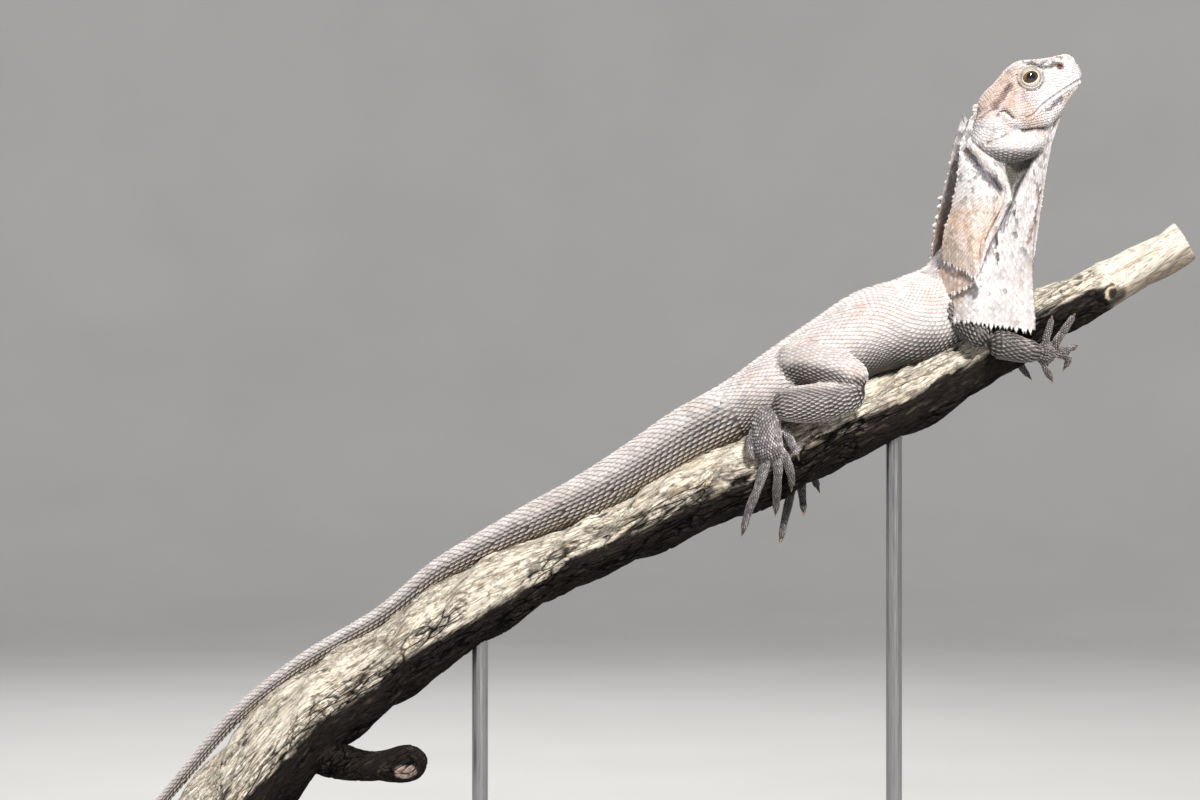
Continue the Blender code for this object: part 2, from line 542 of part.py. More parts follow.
def frill_half(name, side):
    """One half of the folded frill: a thin pleated sheet with a toothed margin."""
    sign = -1 if side == "right" else 1
    s = np.linspace(0, 1, FRILL_COLUMNS)[:, None]
    t = np.linspace(0, 1, FRILL_ROWS)[None]
    fold = smoothstep(t, PLEAT_FROM, PLEAT_FULL)
    crest = curve(PLEAT_CREST, t[0])[:, 0][None]
    valley = curve(PLEAT_VALLEY, t[0])[:, 0][None]
    outward = crest * np.sin(np.clip(s / PLEAT_TURN, 0, 1) * np.pi / 2)
    back = crest + (valley - crest) * smoothstep(s, PLEAT_TURN, PLEAT_BACK)
    last = np.clip((s - PLEAT_BACK) / (1 - PLEAT_BACK), 0, 1)
    onward = valley + (1 - valley) * (1 - np.cos(last * np.pi / 2))
    q = np.where(s < PLEAT_TURN, outward, np.where(s < PLEAT_BACK, back, onward))
    q = s + (q - s) * fold
    top = curve(FRILL_TOP, s[:, 0])[:, 0][:, None]
    foot = curve(FRILL_FOOT, s[:, 0])[:, 0][:, None]
    tooth = (np.arange(FRILL_COLUMNS) % 2)[:, None] * FRILL_TOOTH
    z = top + (foot - tooth - top) * t
    rear = np.asarray(REAR_EDGE[side])[::-1, ::-1]
    front = np.asarray(FRONT_EDGE[side])[::-1, ::-1]
    x_rear = curve(rear, z)[..., 0]
    x_front = curve(front, z)[..., 0]
    rows = np.arange(FRILL_ROWS)
    edge = (rows % 2) * EDGE_TOOTH * (rows < FRILL_ROWS - 1)
    x = x_rear + q * (x_front - x_rear)
    x[0] -= edge
    x[-1] += edge
    y_rear, y_side, y_front = curve(FRILL_REACH, t[0]).T[:, None]
    layer = (0.5 - smoothstep(s, LAYER_FROM, LAYER_TO)) * PLEAT_DEEP * fold
    rearward = np.sin(np.clip(q / FRILL_WIDEST, LAYER_REAR[0], 1) * np.pi / 2)
    forward = np.cos(np.clip((q - FRILL_WIDEST) / (1 - FRILL_WIDEST), 0, 1) * np.pi / 2)
    behind = y_rear + (y_side - y_rear) * rearward
    before = y_front + (y_side - y_front) * forward
    y = np.where(q < FRILL_WIDEST, behind, before)
    y = sign * (y + layer * smoothstep(q, *LAYER_REAR) * (1 - smoothstep(q, *LAYER_FRONT)))
    sheet = np.stack([x, y, z], axis=2)
    ds = np.gradient(sheet, axis=0)
    dt = np.gradient(sheet, axis=1)
    normal = np.cross(ds, dt)
    normal /= np.linalg.norm(normal, axis=2)[..., None]
    half = (FRILL_THICK_ROOT + (FRILL_THICK_RIM - FRILL_THICK_ROOT) * t[..., None]) / 2
    points = np.concatenate([(sheet + normal * half).reshape(-1, 3), (sheet - normal * half).reshape(-1, 3)])
    return solid(name, points, sheet_faces(FRILL_COLUMNS, FRILL_ROWS), TAN_SKIN)


def sheet_faces(columns, rows):
    """Triangles of a sheet with two faces, split alike, and the strips round its rim."""
    def index(layer, i, j):
        return layer * columns * rows + i * rows + j

    faces = []
    for i in range(columns - 1):
        for j in range(rows - 1):
            for layer in (0, 1):
                a, b = index(layer, i, j), index(layer, i + 1, j)
                c, d = index(layer, i + 1, j + 1), index(layer, i, j + 1)
                faces += [(a, b, c), (a, c, d)] if layer == 0 else [(a, c, b), (a, d, c)]
    rim = [(i, 0) for i in range(columns)] + [(columns - 1, j) for j in range(1, rows)]
    rim += [(i, rows - 1) for i in range(columns - 2, -1, -1)] + [(0, j) for j in range(rows - 2, 0, -1)]
    for here, there in zip(rim, rim[1:] + rim[:1]):
        a, b = index(0, *here), index(0, *there)
        c, d = index(1, *there), index(1, *here)
        faces += [(a, c, b), (a, d, c)]
    return faces


def sided(rows, sign):
    """Rows whose second value is a distance from the middle, put on one side."""
    rows = np.asarray(rows, float).copy()
    rows[:, 1] *= sign
    return rows


def digit(palm, rows, radii, sign):
    """A toe or finger that starts inside the palm, tapers and ends in a curved claw."""
    track = line(sided([palm, *rows], sign))
    places = curve(track, np.linspace(0, track[-1, 0], DIGIT_RINGS))
    ahead = places[-1] - places[-2]
    ahead /= np.linalg.norm(ahead)
    bend = ahead + np.array([0.0, -sign * CLAW_DROP, 0.0])
    bend /= np.linalg.norm(bend)
    root = places[-1] + ahead * CLAW_FROM
    claw = [places[-1] + ahead * TIP_ROUND, root + bend * CLAW_ROOT, root + bend * CLAW_LENGTH]
    centres = np.vstack([places, claw])
    along_toe = np.linspace(radii[0], radii[1], DIGIT_RINGS)
    radius = np.concatenate([along_toe, [radii[1] * TIP_TAPER, CLAW_RADIUS, CLAW_TIP]])
    rows = np.column_stack([centres, radius, radius, radius])
    angles = np.linspace(0, 2 * np.pi, DIGIT_SIDES, endpoint=False)
    return solid("digit", *tube_mesh(rings_of(rows, angles)))


def limb(name, rows, sign, count, sides, colour):
    """One length of a leg or a palm, put on its side."""
    return solid(name, *tube_mesh(rounded(sided(rows, sign), count, sides)), colour)


def make_legs(guides):
    """Both fore and hind legs: a limb's parts meet each other, the body and the branch."""
    for side, sign in (("right", -1), ("left", 1)):
        for upper, lower, end in (("upper_arm", "forearm", "hand"), ("thigh", "shank", "foot")):
            rows = LEGS[side]
            first = limb(f"{upper}_{side}", rows[upper], sign, LIMB_RINGS, LIMB_SIDES, PALE_SKIN)
            second = limb(f"{lower}_{side}", rows[lower], sign, LIMB_RINGS, LIMB_SIDES, GREY_SKIN)
            name = f"{end}_{side}"
            third = limb(name, PALMS[name], sign, PALM_RINGS, PALM_SIDES, GREY_SKIN)
            root = np.mean(np.asarray(PALMS[name])[1:, :3], axis=0)
            digits = [digit(root, toe, DIGIT_RADIUS[end], sign) for toe in DIGITS[name]]
            combine(third, digits, "UNION")
            around = [guides["branch"], guides["torso"]]
            clear(first, around)
            guides[first.name] = swollen(first)
            clear(second, around + [guides[first.name]])
            guides[second.name] = swollen(second)
            clear(third, around + [guides[first.name], guides[second.name]])


def make_stand(guides):
    bpy.ops.mesh.primitive_cube_add(size=1.0, location=(0, 0, BASE_THICK / 2 * MM))
    base = bpy.context.object
    base.name = base.data.name = "stand_base"
    base.data.transform(Matrix.Diagonal((BASE_LENGTH * MM, BASE_WIDTH * MM, BASE_THICK * MM, 1.0)))
    shape = bmesh.new()
    shape.from_mesh(base.data)
    half = BASE_THICK * MM / 2
    upright = [edge for edge in shape.edges if abs(edge.verts[0].co.z - edge.verts[1].co.z) > half]
    bmesh.ops.bevel(shape, geom=upright, offset=BASE_CORNER * MM, segments=CORNER_STEPS,
                    affect="EDGES", profile=0.5)
    rim = [edge for edge in shape.edges if min(point.co.z for point in edge.verts) > half - GAP * MM]
    bmesh.ops.bevel(shape, geom=rim, offset=BASE_EDGE * MM, segments=EDGE_STEPS,
                    affect="EDGES", profile=0.5)
    shape.to_mesh(base.data)
    shape.free()
    base.data.materials.append(finish("stand_base", SATIN_BLACK, 0.5))
    track = line(BRANCH_LINE)
    for name, x in ROD_AT.items():
        along = np.interp(x, track[:, 1], track[:, 0])
        top = curve(track, np.array([along]))[0, 2]
        low = BASE_THICK + GAP
        rows = [(x, 0, z, ROD_RADIUS, ROD_RADIUS, ROD_RADIUS) for z in (low, (low + top) / 2, top)]
        rings = rings_of(np.asarray(rows, float), np.linspace(0, 2 * np.pi, ROD_SIDES, endpoint=False))
        rod = solid(name, *tube_mesh(rings), STEEL, 0.35, 1.0)
        clear(rod, [guides["branch"]])


def main():
    for old in list(bpy.data.objects):
        bpy.data.objects.remove(old)
    guides = {"branch": swollen(make_branch())}
    body = make_body(guides)
    make_head(guides)
    # The exact solver loses the neck and leaves open edges in the frill's thin sheets.
    clear(body["neck"], [guides["head"]], "MANIFOLD")
    make_legs(guides)
    for side in ("right", "left"):
        frill = frill_half("frill_" + side, side)
        around = ["head", "neck", "torso", "branch", "upper_arm_" + side, "forearm_" + side]
        clear(frill, [guides[name] for name in around], "MANIFOLD")
    make_stand(guides)
    for guide in guides.values():
        bpy.data.objects.remove(guide)


main()
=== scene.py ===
"""The looks of the frilled lizard on its branch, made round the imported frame.

Sizes and places are in millimetres in the frame's own axes, and object_of() turns them into
metres. The lizard faces +X with its right side towards -Y. The lines of the body, the legs, the
head, the frill and the branch are those of the solids, so every piece lies where its node is.
"""

import math

import bpy
import numpy as np
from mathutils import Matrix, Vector
from mathutils.bvhtree import BVHTree
from mathutils.kdtree import KDTree


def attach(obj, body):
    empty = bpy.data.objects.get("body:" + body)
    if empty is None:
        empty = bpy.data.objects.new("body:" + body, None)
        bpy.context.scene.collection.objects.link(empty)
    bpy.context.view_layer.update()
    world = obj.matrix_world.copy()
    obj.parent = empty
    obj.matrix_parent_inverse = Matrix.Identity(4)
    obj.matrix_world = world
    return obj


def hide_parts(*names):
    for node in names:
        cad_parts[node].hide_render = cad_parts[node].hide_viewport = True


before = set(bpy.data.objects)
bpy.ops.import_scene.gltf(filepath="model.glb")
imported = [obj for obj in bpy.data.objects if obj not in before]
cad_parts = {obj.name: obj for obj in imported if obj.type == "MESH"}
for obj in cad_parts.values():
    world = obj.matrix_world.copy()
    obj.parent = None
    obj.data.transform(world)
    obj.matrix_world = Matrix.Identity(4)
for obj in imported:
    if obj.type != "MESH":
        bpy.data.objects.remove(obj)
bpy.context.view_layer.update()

MM = 0.001
COAT = 0.4

# The camera stands where the photograph was taken from, level and square to the animal's side.
CAMERA_AT, CAMERA_LENS, CAMERA_SENSOR = (-45.0, -1600.0, 304.5), 96.0, 36.0

# The branch: x, y, z, radius from its thick lower cut to its thin upper cut, its stub and its knob.
BRANCH_LINE = [
    (-245, 0, 84, 22.5), (-219, 0, 114, 22.5), (-194, 0, 142, 22.5), (-154, 0, 170, 19.5),
    (-105, 0, 202, 17.0), (-67, 0, 223, 15.5), (-28, 0, 240, 15.5), (5, 0, 256, 16.6),
    (36, 0, 268.5, 16.5), (71, 0, 288, 17.0), (115, 0, 309, 16.5), (155, 0, 332, 13.6),
    (180, 0, 348, 13.0), (213, 0, 364, 11.0), (247, 0, 384, 10.0),
]
STUB_LINE = [
    (-190, -2, 131, 13.0), (-172, -6, 124, 9.0), (-155, -9, 122.5, 7.6), (-141, -11, 124, 9.4),
    (-131, -12, 126.5, 7.4),
]
KNOB_LINE = [(204, -2, 361, 9.5), (207, -8, 358.6, 7.6), (209, -13, 357.4, 5.4)]
# The pale cut on the stub, the knob's pale rim and the painted shade in the knob's hollow: x, z, half sizes
# and colour.
STUB_FACES = [
    ((-141.5, 120.9), (5.8, 3.6), (0.50, 0.37, 0.32)),
    ((209.3, 357.4), (4.3, 4.1), (0.60, 0.50, 0.37)),
    ((210.0, 357.2), (2.5, 2.6), (0.03, 0.025, 0.022)),
]
# Swellings of the bark: how often round the branch, how high and how often along a millimetre.
BARK_WAVES = ((3, 0.9, 0.021), (5, 0.6, 0.034), (8, 0.35, 0.055))
# Where the bark rises to meet the tail: x, half length and height.
TAIL_BEDS = ((-110, 34, 3.0), (2, 32, 2.7), (19, 14, 2.2))
# Distances along the branch over which the bark crumbles, and over which it ends in bare wood.
BARK_CRUMBLES, BARK_ENDS = (480, 500), (531, 537)
# How high up its side the bark turns dark, dark bark with painted shade, as distance along the branch and
# height.
DARK_FROM = ([0, 200, 330, 420, 500], [-0.25, -0.05, 0.2, 0.25, 0.05])

# The body and the tail: x, y, z, half width, half height above, half height below.
BODY_LINE = [
    (10, 0, 294, 12.8, 12.8, 14.6), (23.5, 0, 301, 13.5, 13.5, 14.8), (48, 0, 315, 17, 16.5, 17),
    (74, 0, 330, 21, 18.8, 20), (91, 0, 339.5, 22.5, 20.2, 22), (111, 0, 344.5, 22.5, 21.5, 23),
    (127, 0, 355, 18.5, 19.5, 21), (136, 0, 370.5, 13.5, 14.5, 15.5), (141, 0, 387, 12, 12.5, 12.5),
    (144.5, 0, 407, 11.5, 12, 12), (147.5, 0, 427, 12, 12, 12), (152, 0, 441, 12.5, 11, 12),
]
TAIL_LINE = [
    (23.5, 0, 301, 13.5, 13.5, 14.8), (0, 0, 288.5, 13, 13, 14.2), (-29, -1, 269.6, 11.8, 12, 11.6),
    (-54, -1.5, 255.4, 10.4, 10.6, 10.2), (-77, -1.5, 244.8, 8.5, 8.8, 8.4),
    (-101, -1, 232.8, 6.7, 7, 6.6), (-125, 0, 219.6, 5.4, 5.6, 5.4),
    (-151.5, 1, 198.6, 4.5, 4.6, 4.5), (-194.5, 1, 172.4, 4.2, 4.3, 4.2),
    (-224, 0, 149.4, 3.8, 3.9, 3.8), (-257, -1, 112, 3, 3.1, 3), (-277, -1, 88, 2.5, 2.5, 2.5),
    (-295, 0, 62, 1.9, 1.9, 1.9), (-310, 2, 35, 1.3, 1.3, 1.3), (-318, 3, 13, 0.6, 0.6, 0.6),
]

# The head's own axes: a runs back from the snout's tip, h runs up, w runs to the left.
SNOUT, HEAD_PITCH = np.array([195.0, 0.0, 469.0]), math.radians(22.0)
# Stations: a, roof h, brow w, brow h, cheek w, cheek h, jaw w, jaw h, throat h.
HEAD_STATIONS = [
    (0.2, 3.6, 1.2, 2.9, 1.9, 1.0, 1.2, -1.0, -1.8),
    (1.2, 7.6, 3.2, 6.6, 4.8, 1.6, 3.0, -3.4, -4.6),
    (3.2, 10.0, 4.8, 8.8, 6.5, 1.4, 4.4, -5.2, -6.6),
    (8, 11.3, 6.2, 10.0, 8.2, 0.4, 5.8, -8.0, -9.6),
    (14, 11.7, 7.2, 10.8, 9.8, -1.2, 7.2, -11.8, -13.6),
    (20, 12.6, 9.2, 12.0, 11.6, -2.8, 8.8, -15.4, -17.4),
    (26, 15.2, 11.4, 13.6, 13.6, -5.0, 10.4, -18.2, -20.4),
    (31, 15.6, 11.8, 13.4, 15.6, -6.6, 11.8, -19.4, -21.6),
    (37, 13.2, 10.8, 10.4, 17.6, -8.2, 13.0, -19.4, -21.4),
    (43, 10.2, 10.2, 7.4, 18.6, -9.4, 13.2, -18.2, -20.2),
    (49, 7.8, 9.4, 4.8, 17.0, -9.4, 12.2, -16.4, -18.4),
    (54, 3.6, 7.6, 1.2, 13.4, -9.0, 9.6, -14.4, -16.0),
    (57.5, -2.4, 4.0, -4.0, 7.0, -8.6, 5.0, -11.4, -12.4),
]
EYE_AT, EYE_RADIUS, EYE_DEEP = (26.0, 5.9), 5.0, 7.9
LID_RADIUS, LID_OPENING = 6.3, (4.1, 3.2)
NOSTRIL_AT = (9.6, 5.7)
EAR_AT = (45.6, -8.4)
MOUTH_LINE = [(-3, -3.2), (2, -4.0), (14, -6.2), (26, -9.2), (34, -12.2), (38, -12.0)]
JOWL_LINE = [
    (143, 4, 440.5, 6.4), (147.5, 9, 433, 7.6), (157, 11.8, 430.6, 8.4), (167, 9.4, 432, 7.6),
    (175.5, 3.6, 437, 5.8),
]
# The cheek's lower swelling, which the ear lies on.
EAR_LOBE = [(143, 4, 444, 6.4), (149, 9.4, 440.6, 7.6), (157, 10.6, 440, 7.2), (164, 8, 441.5, 5.6)]

# Lines on the side of the head, as x, z: the ear's dark rim, the fold under the ear, the lower
# edge of the temple, and the jaw's lower edge.
EAR_RIM = [(151.9, 445.4), (152.9, 447.0), (154.4, 447.9), (156.4, 447.2), (158.0, 445.6), (159.2, 443.9)]
JOWL_CREASE = [(136, 426), (141.1, 429), (146.7, 431.6), (151.4, 433.8), (156, 436)]
TEMPLE_EDGE = [(143.5, 444), (145.5, 445.8), (148.9, 448.2), (152, 449.2)]
JAW_EDGE = [(164, 438), (167, 438.4), (170, 438.9), (174, 439.4), (178.5, 440.4)]

# The folded frill's two halves. Edges: x, z down the rear and the front.
REAR_EDGE = {
    "right": [(141, 447), (134.9, 433), (133.2, 418), (130, 401.5), (125.4, 386.5), (124.5, 372), (123, 352)],
    "left": [(138.5, 451), (132.9, 433.8), (130.2, 419), (126.4, 402), (123, 384), (122, 370), (122, 352)],
}
FRONT_EDGE = {
    "right": [(183, 449), (178, 431.3), (174.7, 409.8), (172.2, 393), (170.4, 360), (170.2, 333)],
    "left": [(188, 453), (181, 431.3), (177.2, 409.8), (174.2, 389), (170.6, 360), (170.4, 333)],
}
FRILL_TOP = [(0, 448), (0.3, 434), (0.6, 427), (0.8, 433), (1, 447)]
FRILL_FOOT = [
    (0, 374), (0.2, 366), (0.33, 361), (0.4, 370), (0.47, 360), (0.6, 353.5), (0.7, 347),
    (0.85, 342.5), (1, 339),
]
PLEAT_CREST = [(0, 0.45), (0.33, 0.6), (0.57, 0.48), (0.79, 0.38), (1, 0.4)]
PLEAT_VALLEY = [(0, 0.6), (0.33, 0.56), (0.57, 0.3), (0.85, -0.06), (1, -0.1)]
# Where the pleat turns back and on again, as shares from the rear edge to the front one.
PLEAT_TURNS = (0.4, 0.6)
PLEAT_FROM, PLEAT_FULL, PLEAT_DEEP = 0.12, 0.5, 6.4
# Down the frill: how far out its rear edge, its widest line and its front edge lie.
FRILL_REACH = [
    (0, 6, 12.5, 2.4), (0.2, 7, 14.5, 2.4), (0.45, 9, 18.5, 2.6), (0.7, 12.5, 25.5, 3.2), (0.8, 14, 27, 7.5),
    (0.88, 14, 28, 14), (1, 14, 28.5, 17),
]
FRILL_WIDEST = 0.42
FRILL_COLUMNS, FRILL_ROWS = 170, 110
FRILL_THICK_ROOT, FRILL_THICK_RIM = 1.0, 0.7
# Dents and ridges pressed into the frill, as x, z lines: width and depth outwards.
FRILL_DENTS = [
    ([(138, 427), (141, 421.7), (145, 416), (150, 411), (152, 408.6)], 2.4, -3.0),
    ([(141, 429), (147.7, 422), (153.2, 415.5), (157.5, 409.5), (158.8, 402.5)], 2.3, 1.9),
    ([(166, 425), (163, 418), (160.5, 410)], 4.2, -5.2),
    ([(168.6, 421), (162.6, 410), (159.8, 403.8)], 1.3, -1.4),
    ([(163, 384), (161, 372), (160, 360)], 3.5, 0.8),
    ([(140, 400), (143, 386), (142, 374)], 2.6, -0.9),
    ([(172, 425), (168, 412), (163, 400)], 2.4, 1.0),
    ([(151.1, 385), (151.8, 371)], 0.7, -1.2),
]
# The edge along which the rear lobe lies over the front of the frill: x, z, and its step.
LOBE_EDGE = [(158.8, 403), (155.9, 397), (151.8, 388.8), (147.7, 381.9), (144.2, 373.7), (140.1, 366)]
LOBE_STEP, LOBE_REACH = 1.1, 5.0

LEGS = {
    "right": {
        "upper_arm": [(128, 8, 355, 8.6), (135, 13, 346, 8.2), (142, 18.5, 337, 7.0), (146, 20.5, 332, 6.4)],
        "forearm": [
            (146, 20.5, 332, 6.8), (152, 20.2, 332, 7.2), (163, 17.4, 329.4, 6.3), (173, 13.8, 327.8, 5.0),
        ],
        "thigh": [(45, 3, 322, 11.0), (60, 16, 322.5, 10.4), (76, 24, 318, 8.8), (85, 26.5, 311, 7.6)],
        "shank": [
            (85, 26.5, 309, 7.0), (72, 26, 304.8, 8.9), (58, 24.5, 302.8, 9.5), (47, 23, 302, 8.2),
            (40, 22, 300.5, 6.2),
        ],
    },
    "left": {
        "upper_arm": [(128, 8, 355, 8.6), (134, 13, 346, 8.2), (139, 18.5, 337, 7.0), (142, 20.5, 331, 6.2)],
        "forearm": [
            (142, 20.5, 331, 6.6), (150, 20.5, 330.5, 6.8), (157, 18, 331, 5.6), (163, 15.5, 331.5, 4.6),
        ],
        "thigh": [(45, 3, 322, 11.0), (62, 16, 323, 10.4), (79, 24, 320, 8.8), (89, 26.5, 313, 7.6)],
        "shank": [(89, 26.5, 311, 7.0), (78, 26, 306, 8.8), (65, 24, 303, 9.0), (54, 22, 299, 6.2)],
    },
}
PALMS = {
    "hand_right": [(171, 14.2, 328, 4.8), (176.5, 12.2, 327.6, 5.0), (181, 11.8, 327.8, 4.2)],
    "hand_left": [(161, 15.8, 331.5, 4.4), (166, 14.8, 331.4, 4.6), (170, 14.2, 332, 4.0)],
    "foot_right": [(39.5, 22, 301, 6.0), (36.8, 20.5, 292, 6.8), (38, 19.5, 283, 7.0), (41.5, 19, 275, 6.2)],
    "foot_left": [(54, 22, 300, 6.0), (53, 20.4, 291, 6.6), (55, 19.7, 283, 6.8), (58, 19.4, 277, 6.0)],
}
# Digits: rows of x, distance from the middle, z; the claw bends on from the last row.
DIGITS = {
    "hand_right": [
        [(176, 13.8, 333), (177.4, 14.8, 339.5), (178.8, 14.6, 345)],
        [(180.5, 13.4, 332), (186, 14.2, 340.5), (190, 12.8, 346.4)],
        [(184, 11.8, 329), (188.4, 10.8, 330), (191.4, 9.6, 331.2)],
        [(184, 11.2, 327), (187.8, 10, 324.6), (186.4, 8.2, 321)],
        [(175.5, 12, 323), (177, 11.6, 318.6), (179.2, 10.6, 315)],
    ],
    "hand_left": [
        [(163, 15.4, 334), (164, 15.8, 339.5), (167, 15.4, 345)],
        [(168, 14.8, 334), (174, 15.2, 340), (179.6, 14.2, 345.4)],
        [(170, 14.4, 332), (176, 14, 335), (181.6, 12.8, 338.4)],
        [(166, 13.2, 326.4), (167.6, 11.8, 320.8), (170.6, 9.8, 316.6)],
        [(160.6, 14.2, 327), (160, 13.2, 323), (161.2, 12, 320.6)],
    ],
    "foot_right": [
        [(45, 19, 290), (49.5, 19.6, 283.5), (52.6, 19.4, 277)],
        [(46.5, 18.8, 276), (49.4, 18, 267), (49.8, 15.6, 261.5)],
        [(42.6, 18.8, 273), (42.4, 18, 260), (42.1, 13.4, 249)],
        [(37, 18.8, 274), (33, 18.6, 261), (28.6, 15.4, 249.5), (25.9, 12.4, 239)],
        [(33, 19.6, 291), (29.2, 19.8, 283), (29.8, 19.6, 274.5)],
    ],
    "foot_left": [
        [(61, 19.4, 288), (67, 19.8, 282), (70, 19.4, 276)],
        [(61.8, 19, 278), (62.6, 17.8, 267), (65, 14.6, 260)],
        [(58.6, 19, 276), (57, 17.6, 262), (57.8, 12.8, 248)],
        [(55, 19, 277), (52, 18, 260), (48.2, 14.4, 244), (46, 11, 234)],
        [(52, 19.6, 291), (48, 20, 284), (46.6, 19.8, 276)],
    ],
}
DIGIT_RADIUS = {"hand": (2.0, 1.4), "foot": (2.55, 1.6)}
CLAW_LENGTH, CLAW_RADIUS, CLAW_DROP = 2.7, 0.82, 0.5

# Rings and points round each of them, as the forms are drawn.
BODY_RINGS, TAIL_RINGS, HEAD_RINGS = (120, 72), (340, 44), (70, 88)
LIMB_RINGS, PALM_RINGS, JOWL_RINGS = (50, 40), (34, 30), (40, 32)
SKIN_VOXEL, BRANCH_VOXEL = 0.75, 0.8
SIDES = (("right", -1), ("left", 1))
UPRIGHT, TAIL_SIDEWAYS = (0.0, 1.0, 0.0), (0, -1, 0)

# Ridges and grooves on the head in its own axes, and folds in the frame's: a line, its width,
# its height outwards and the distance from the middle at which it starts.
HEAD_RIDGES = [
    ([(14, 10.0), (20, 11.6), (27, 13.0), (34, 12.6)], 1.3, 0.9, 4),
    ([(12, 7.6), (17, 7.6), (21, 8.4)], 1.5, -0.7, 3),
]
HEAD_FOLDS = [
    (EAR_RIM, 0.65, -1.5, 6), (JOWL_CREASE, 0.9, -0.8, 5), (TEMPLE_EDGE, 0.7, -0.5, 5),
    (JAW_EDGE, 0.9, -0.9, 4),
]
# Where the legs and the jowls grow out of the body and the crease is softened: x, z, reach.
SOFT_FOLDS = [
    (56, 316, 16), (50, 322, 14), (134, 350, 11), (146, 440, 9), (153, 432, 9), (148, 331, 7),
]

BODY_COAT_RINGS, TAIL_COAT_RINGS = (160, 96), (420, 56)
# Scales of the body: how far apart along and across it, their length, width and height, and the
# stretch they cover, as shares of the length.
HEAD_APART, JOWL_APART = (1.28, 1.32), (1.5, 1.55)
TORSO_APART, TORSO_SCALE, TORSO_SPAN = (1.9, 2.3), (2.6, 2.1, 0.6), (0.06, 0.62)
NECK_APART, NECK_SCALE, NECK_SPAN = (1.8, 2.1), (2.5, 2.0, 0.5), (0.62, 1.0)
DIGIT_APART, DIGIT_SCALE = (1.1, 1.25), (1.3, 1.2, 0.5)
# On the limbs and palms: the pitch, length and width in pitches, and height.
LIMB_PITCH, LIMB_SCALE = 2.1, (1.35, 0.96, 0.6)
PALM_PITCH, PALM_SCALE = 1.45, (1.15, 1.0, 0.7)
# On the tail and the crests each measure is one at the start and what it loses to the end.
BACK_CREST_PITCH, BACK_CREST_SCALE = (2.7, 0), ((3.6, 0), (2.4, 0), (1.2, 0))
BACK_CREST_SPAN = (0.06, 0.68)
TAIL_PITCH, TAIL_WIDE = (2.0, 0.9), (4.6, 2.6)
TAIL_SCALE, TAIL_SPAN = ((4.1, 1.9), (2.7, 1.45), (0.95, 0.45)), (0.01, 0.985)
CREST_PITCH, CREST_SCALE = (2.9, 1.2), ((3.9, 1.9), (2.6, 1.5), (1.15, 0.6))
CREST_SPAN = (0.05, 0.97)
# Lid scales as rings: how wide the ring is, how many scales and their size.
LID_ROWS = ((1.0, 24, (1.25, 1.0, 0.45)), (1.26, 28, (1.35, 1.2, 0.5)))
# Lip plates: how far above the mouth line and their size.
LIP_ROWS, LIP_PITCH = ((1.25, (2.3, 2.0, 0.5)), (-1.25, (2.2, 1.9, 0.5))), 2.15
# Knobs at the nape: x, z and their size.
NAPE_KNOBS = ((141.2, 447.2), (140.6, 449.4), (142.6, 451.2), (139.8, 445))
NAPE_KNOB_SCALE = (3.0, 2.4, 2.6)
# Frill scales: pitch down and across on the outer and on the inner face, and their height, and how
# tall the frill is for the count of their rows.
OUTER_PITCH, INNER_PITCH, FRILL_SCALE_HEIGHT, FRILL_TALL = (1.5, 1.55), (2.1, 2.2), 0.26, 84
# How near another scale may lie, as a share of the width or the pitch.
TUBE_CROWD, HEAD_CROWD, FRILL_CROWD = 0.52, 0.7, 0.62
# How much the scales' tones differ on the toes and elsewhere.
TOE_SPREAD, SKIN_SPREAD = 0.3, 0.1
# How near the eye, the nostril, the mouth line and the ear no small scale lies.
EYE_CLEAR, NOSTRIL_CLEAR, MOUTH_CLEAR, EAR_CLEAR = (5.6, 5.0), 1.3, 2.1, 2.3
# The eyeball's gap to its socket, the edges of pupil and iris, and the lid ring's section.
EYE_GAP, PUPIL_EDGE, IRIS_EDGE = 0.15, (2.3, 2.6), (3.3, 3.8)
LID_THICK, LID_DEEP, LID_BEADS = 0.34, 0.42, 22
# Spots of the animal as x, z, and the x that parts the hind legs from the front ones.
HIP_AT, KNEE_AT, VENT_AT = (55, 330), (84.5, 307.5), (16, 299)
JOWL_AT, JOWL_LOW_AT, UNDER_EYE_AT = (158, 431), (158, 427), (166, 455.5)
HIND_LIMIT = 110
SKIN_GAP = 0.12

# Lights: name, place, target, size, power and colour.
LIGHTS = [
    ("key", (0.5, -1.55, 1.65), (0.03, 0, 0.3), 0.25, 78, (1.0, 0.97, 0.93)),
    ("fill", (-1.6, -1.2, 0.9), (0, 0, 0.3), 1.4, 4, (0.90, 0.95, 1.0)),
    ("rim", (-0.3, 1.3, 1.5), (0, 0, 0.35), 0.8, 22, (1.0, 1.0, 1.0)),
]
# Four lights on the ground far out: how far out and how high they are and point, size and power.
BACKDROP_AT, BACKDROP_TO, BACKDROP_SIZE, BACKDROP_POWER = (1.2, 2.6), (3.7, 1.1), 1.4, 21
WORLD_LIGHT, WORLD_STRENGTH = (0.94, 0.96, 1.0, 1.0), 0.26
FLOOR_FLAT, FLOOR_RISE, FLOOR_SIDES = 2400, 1500, 96
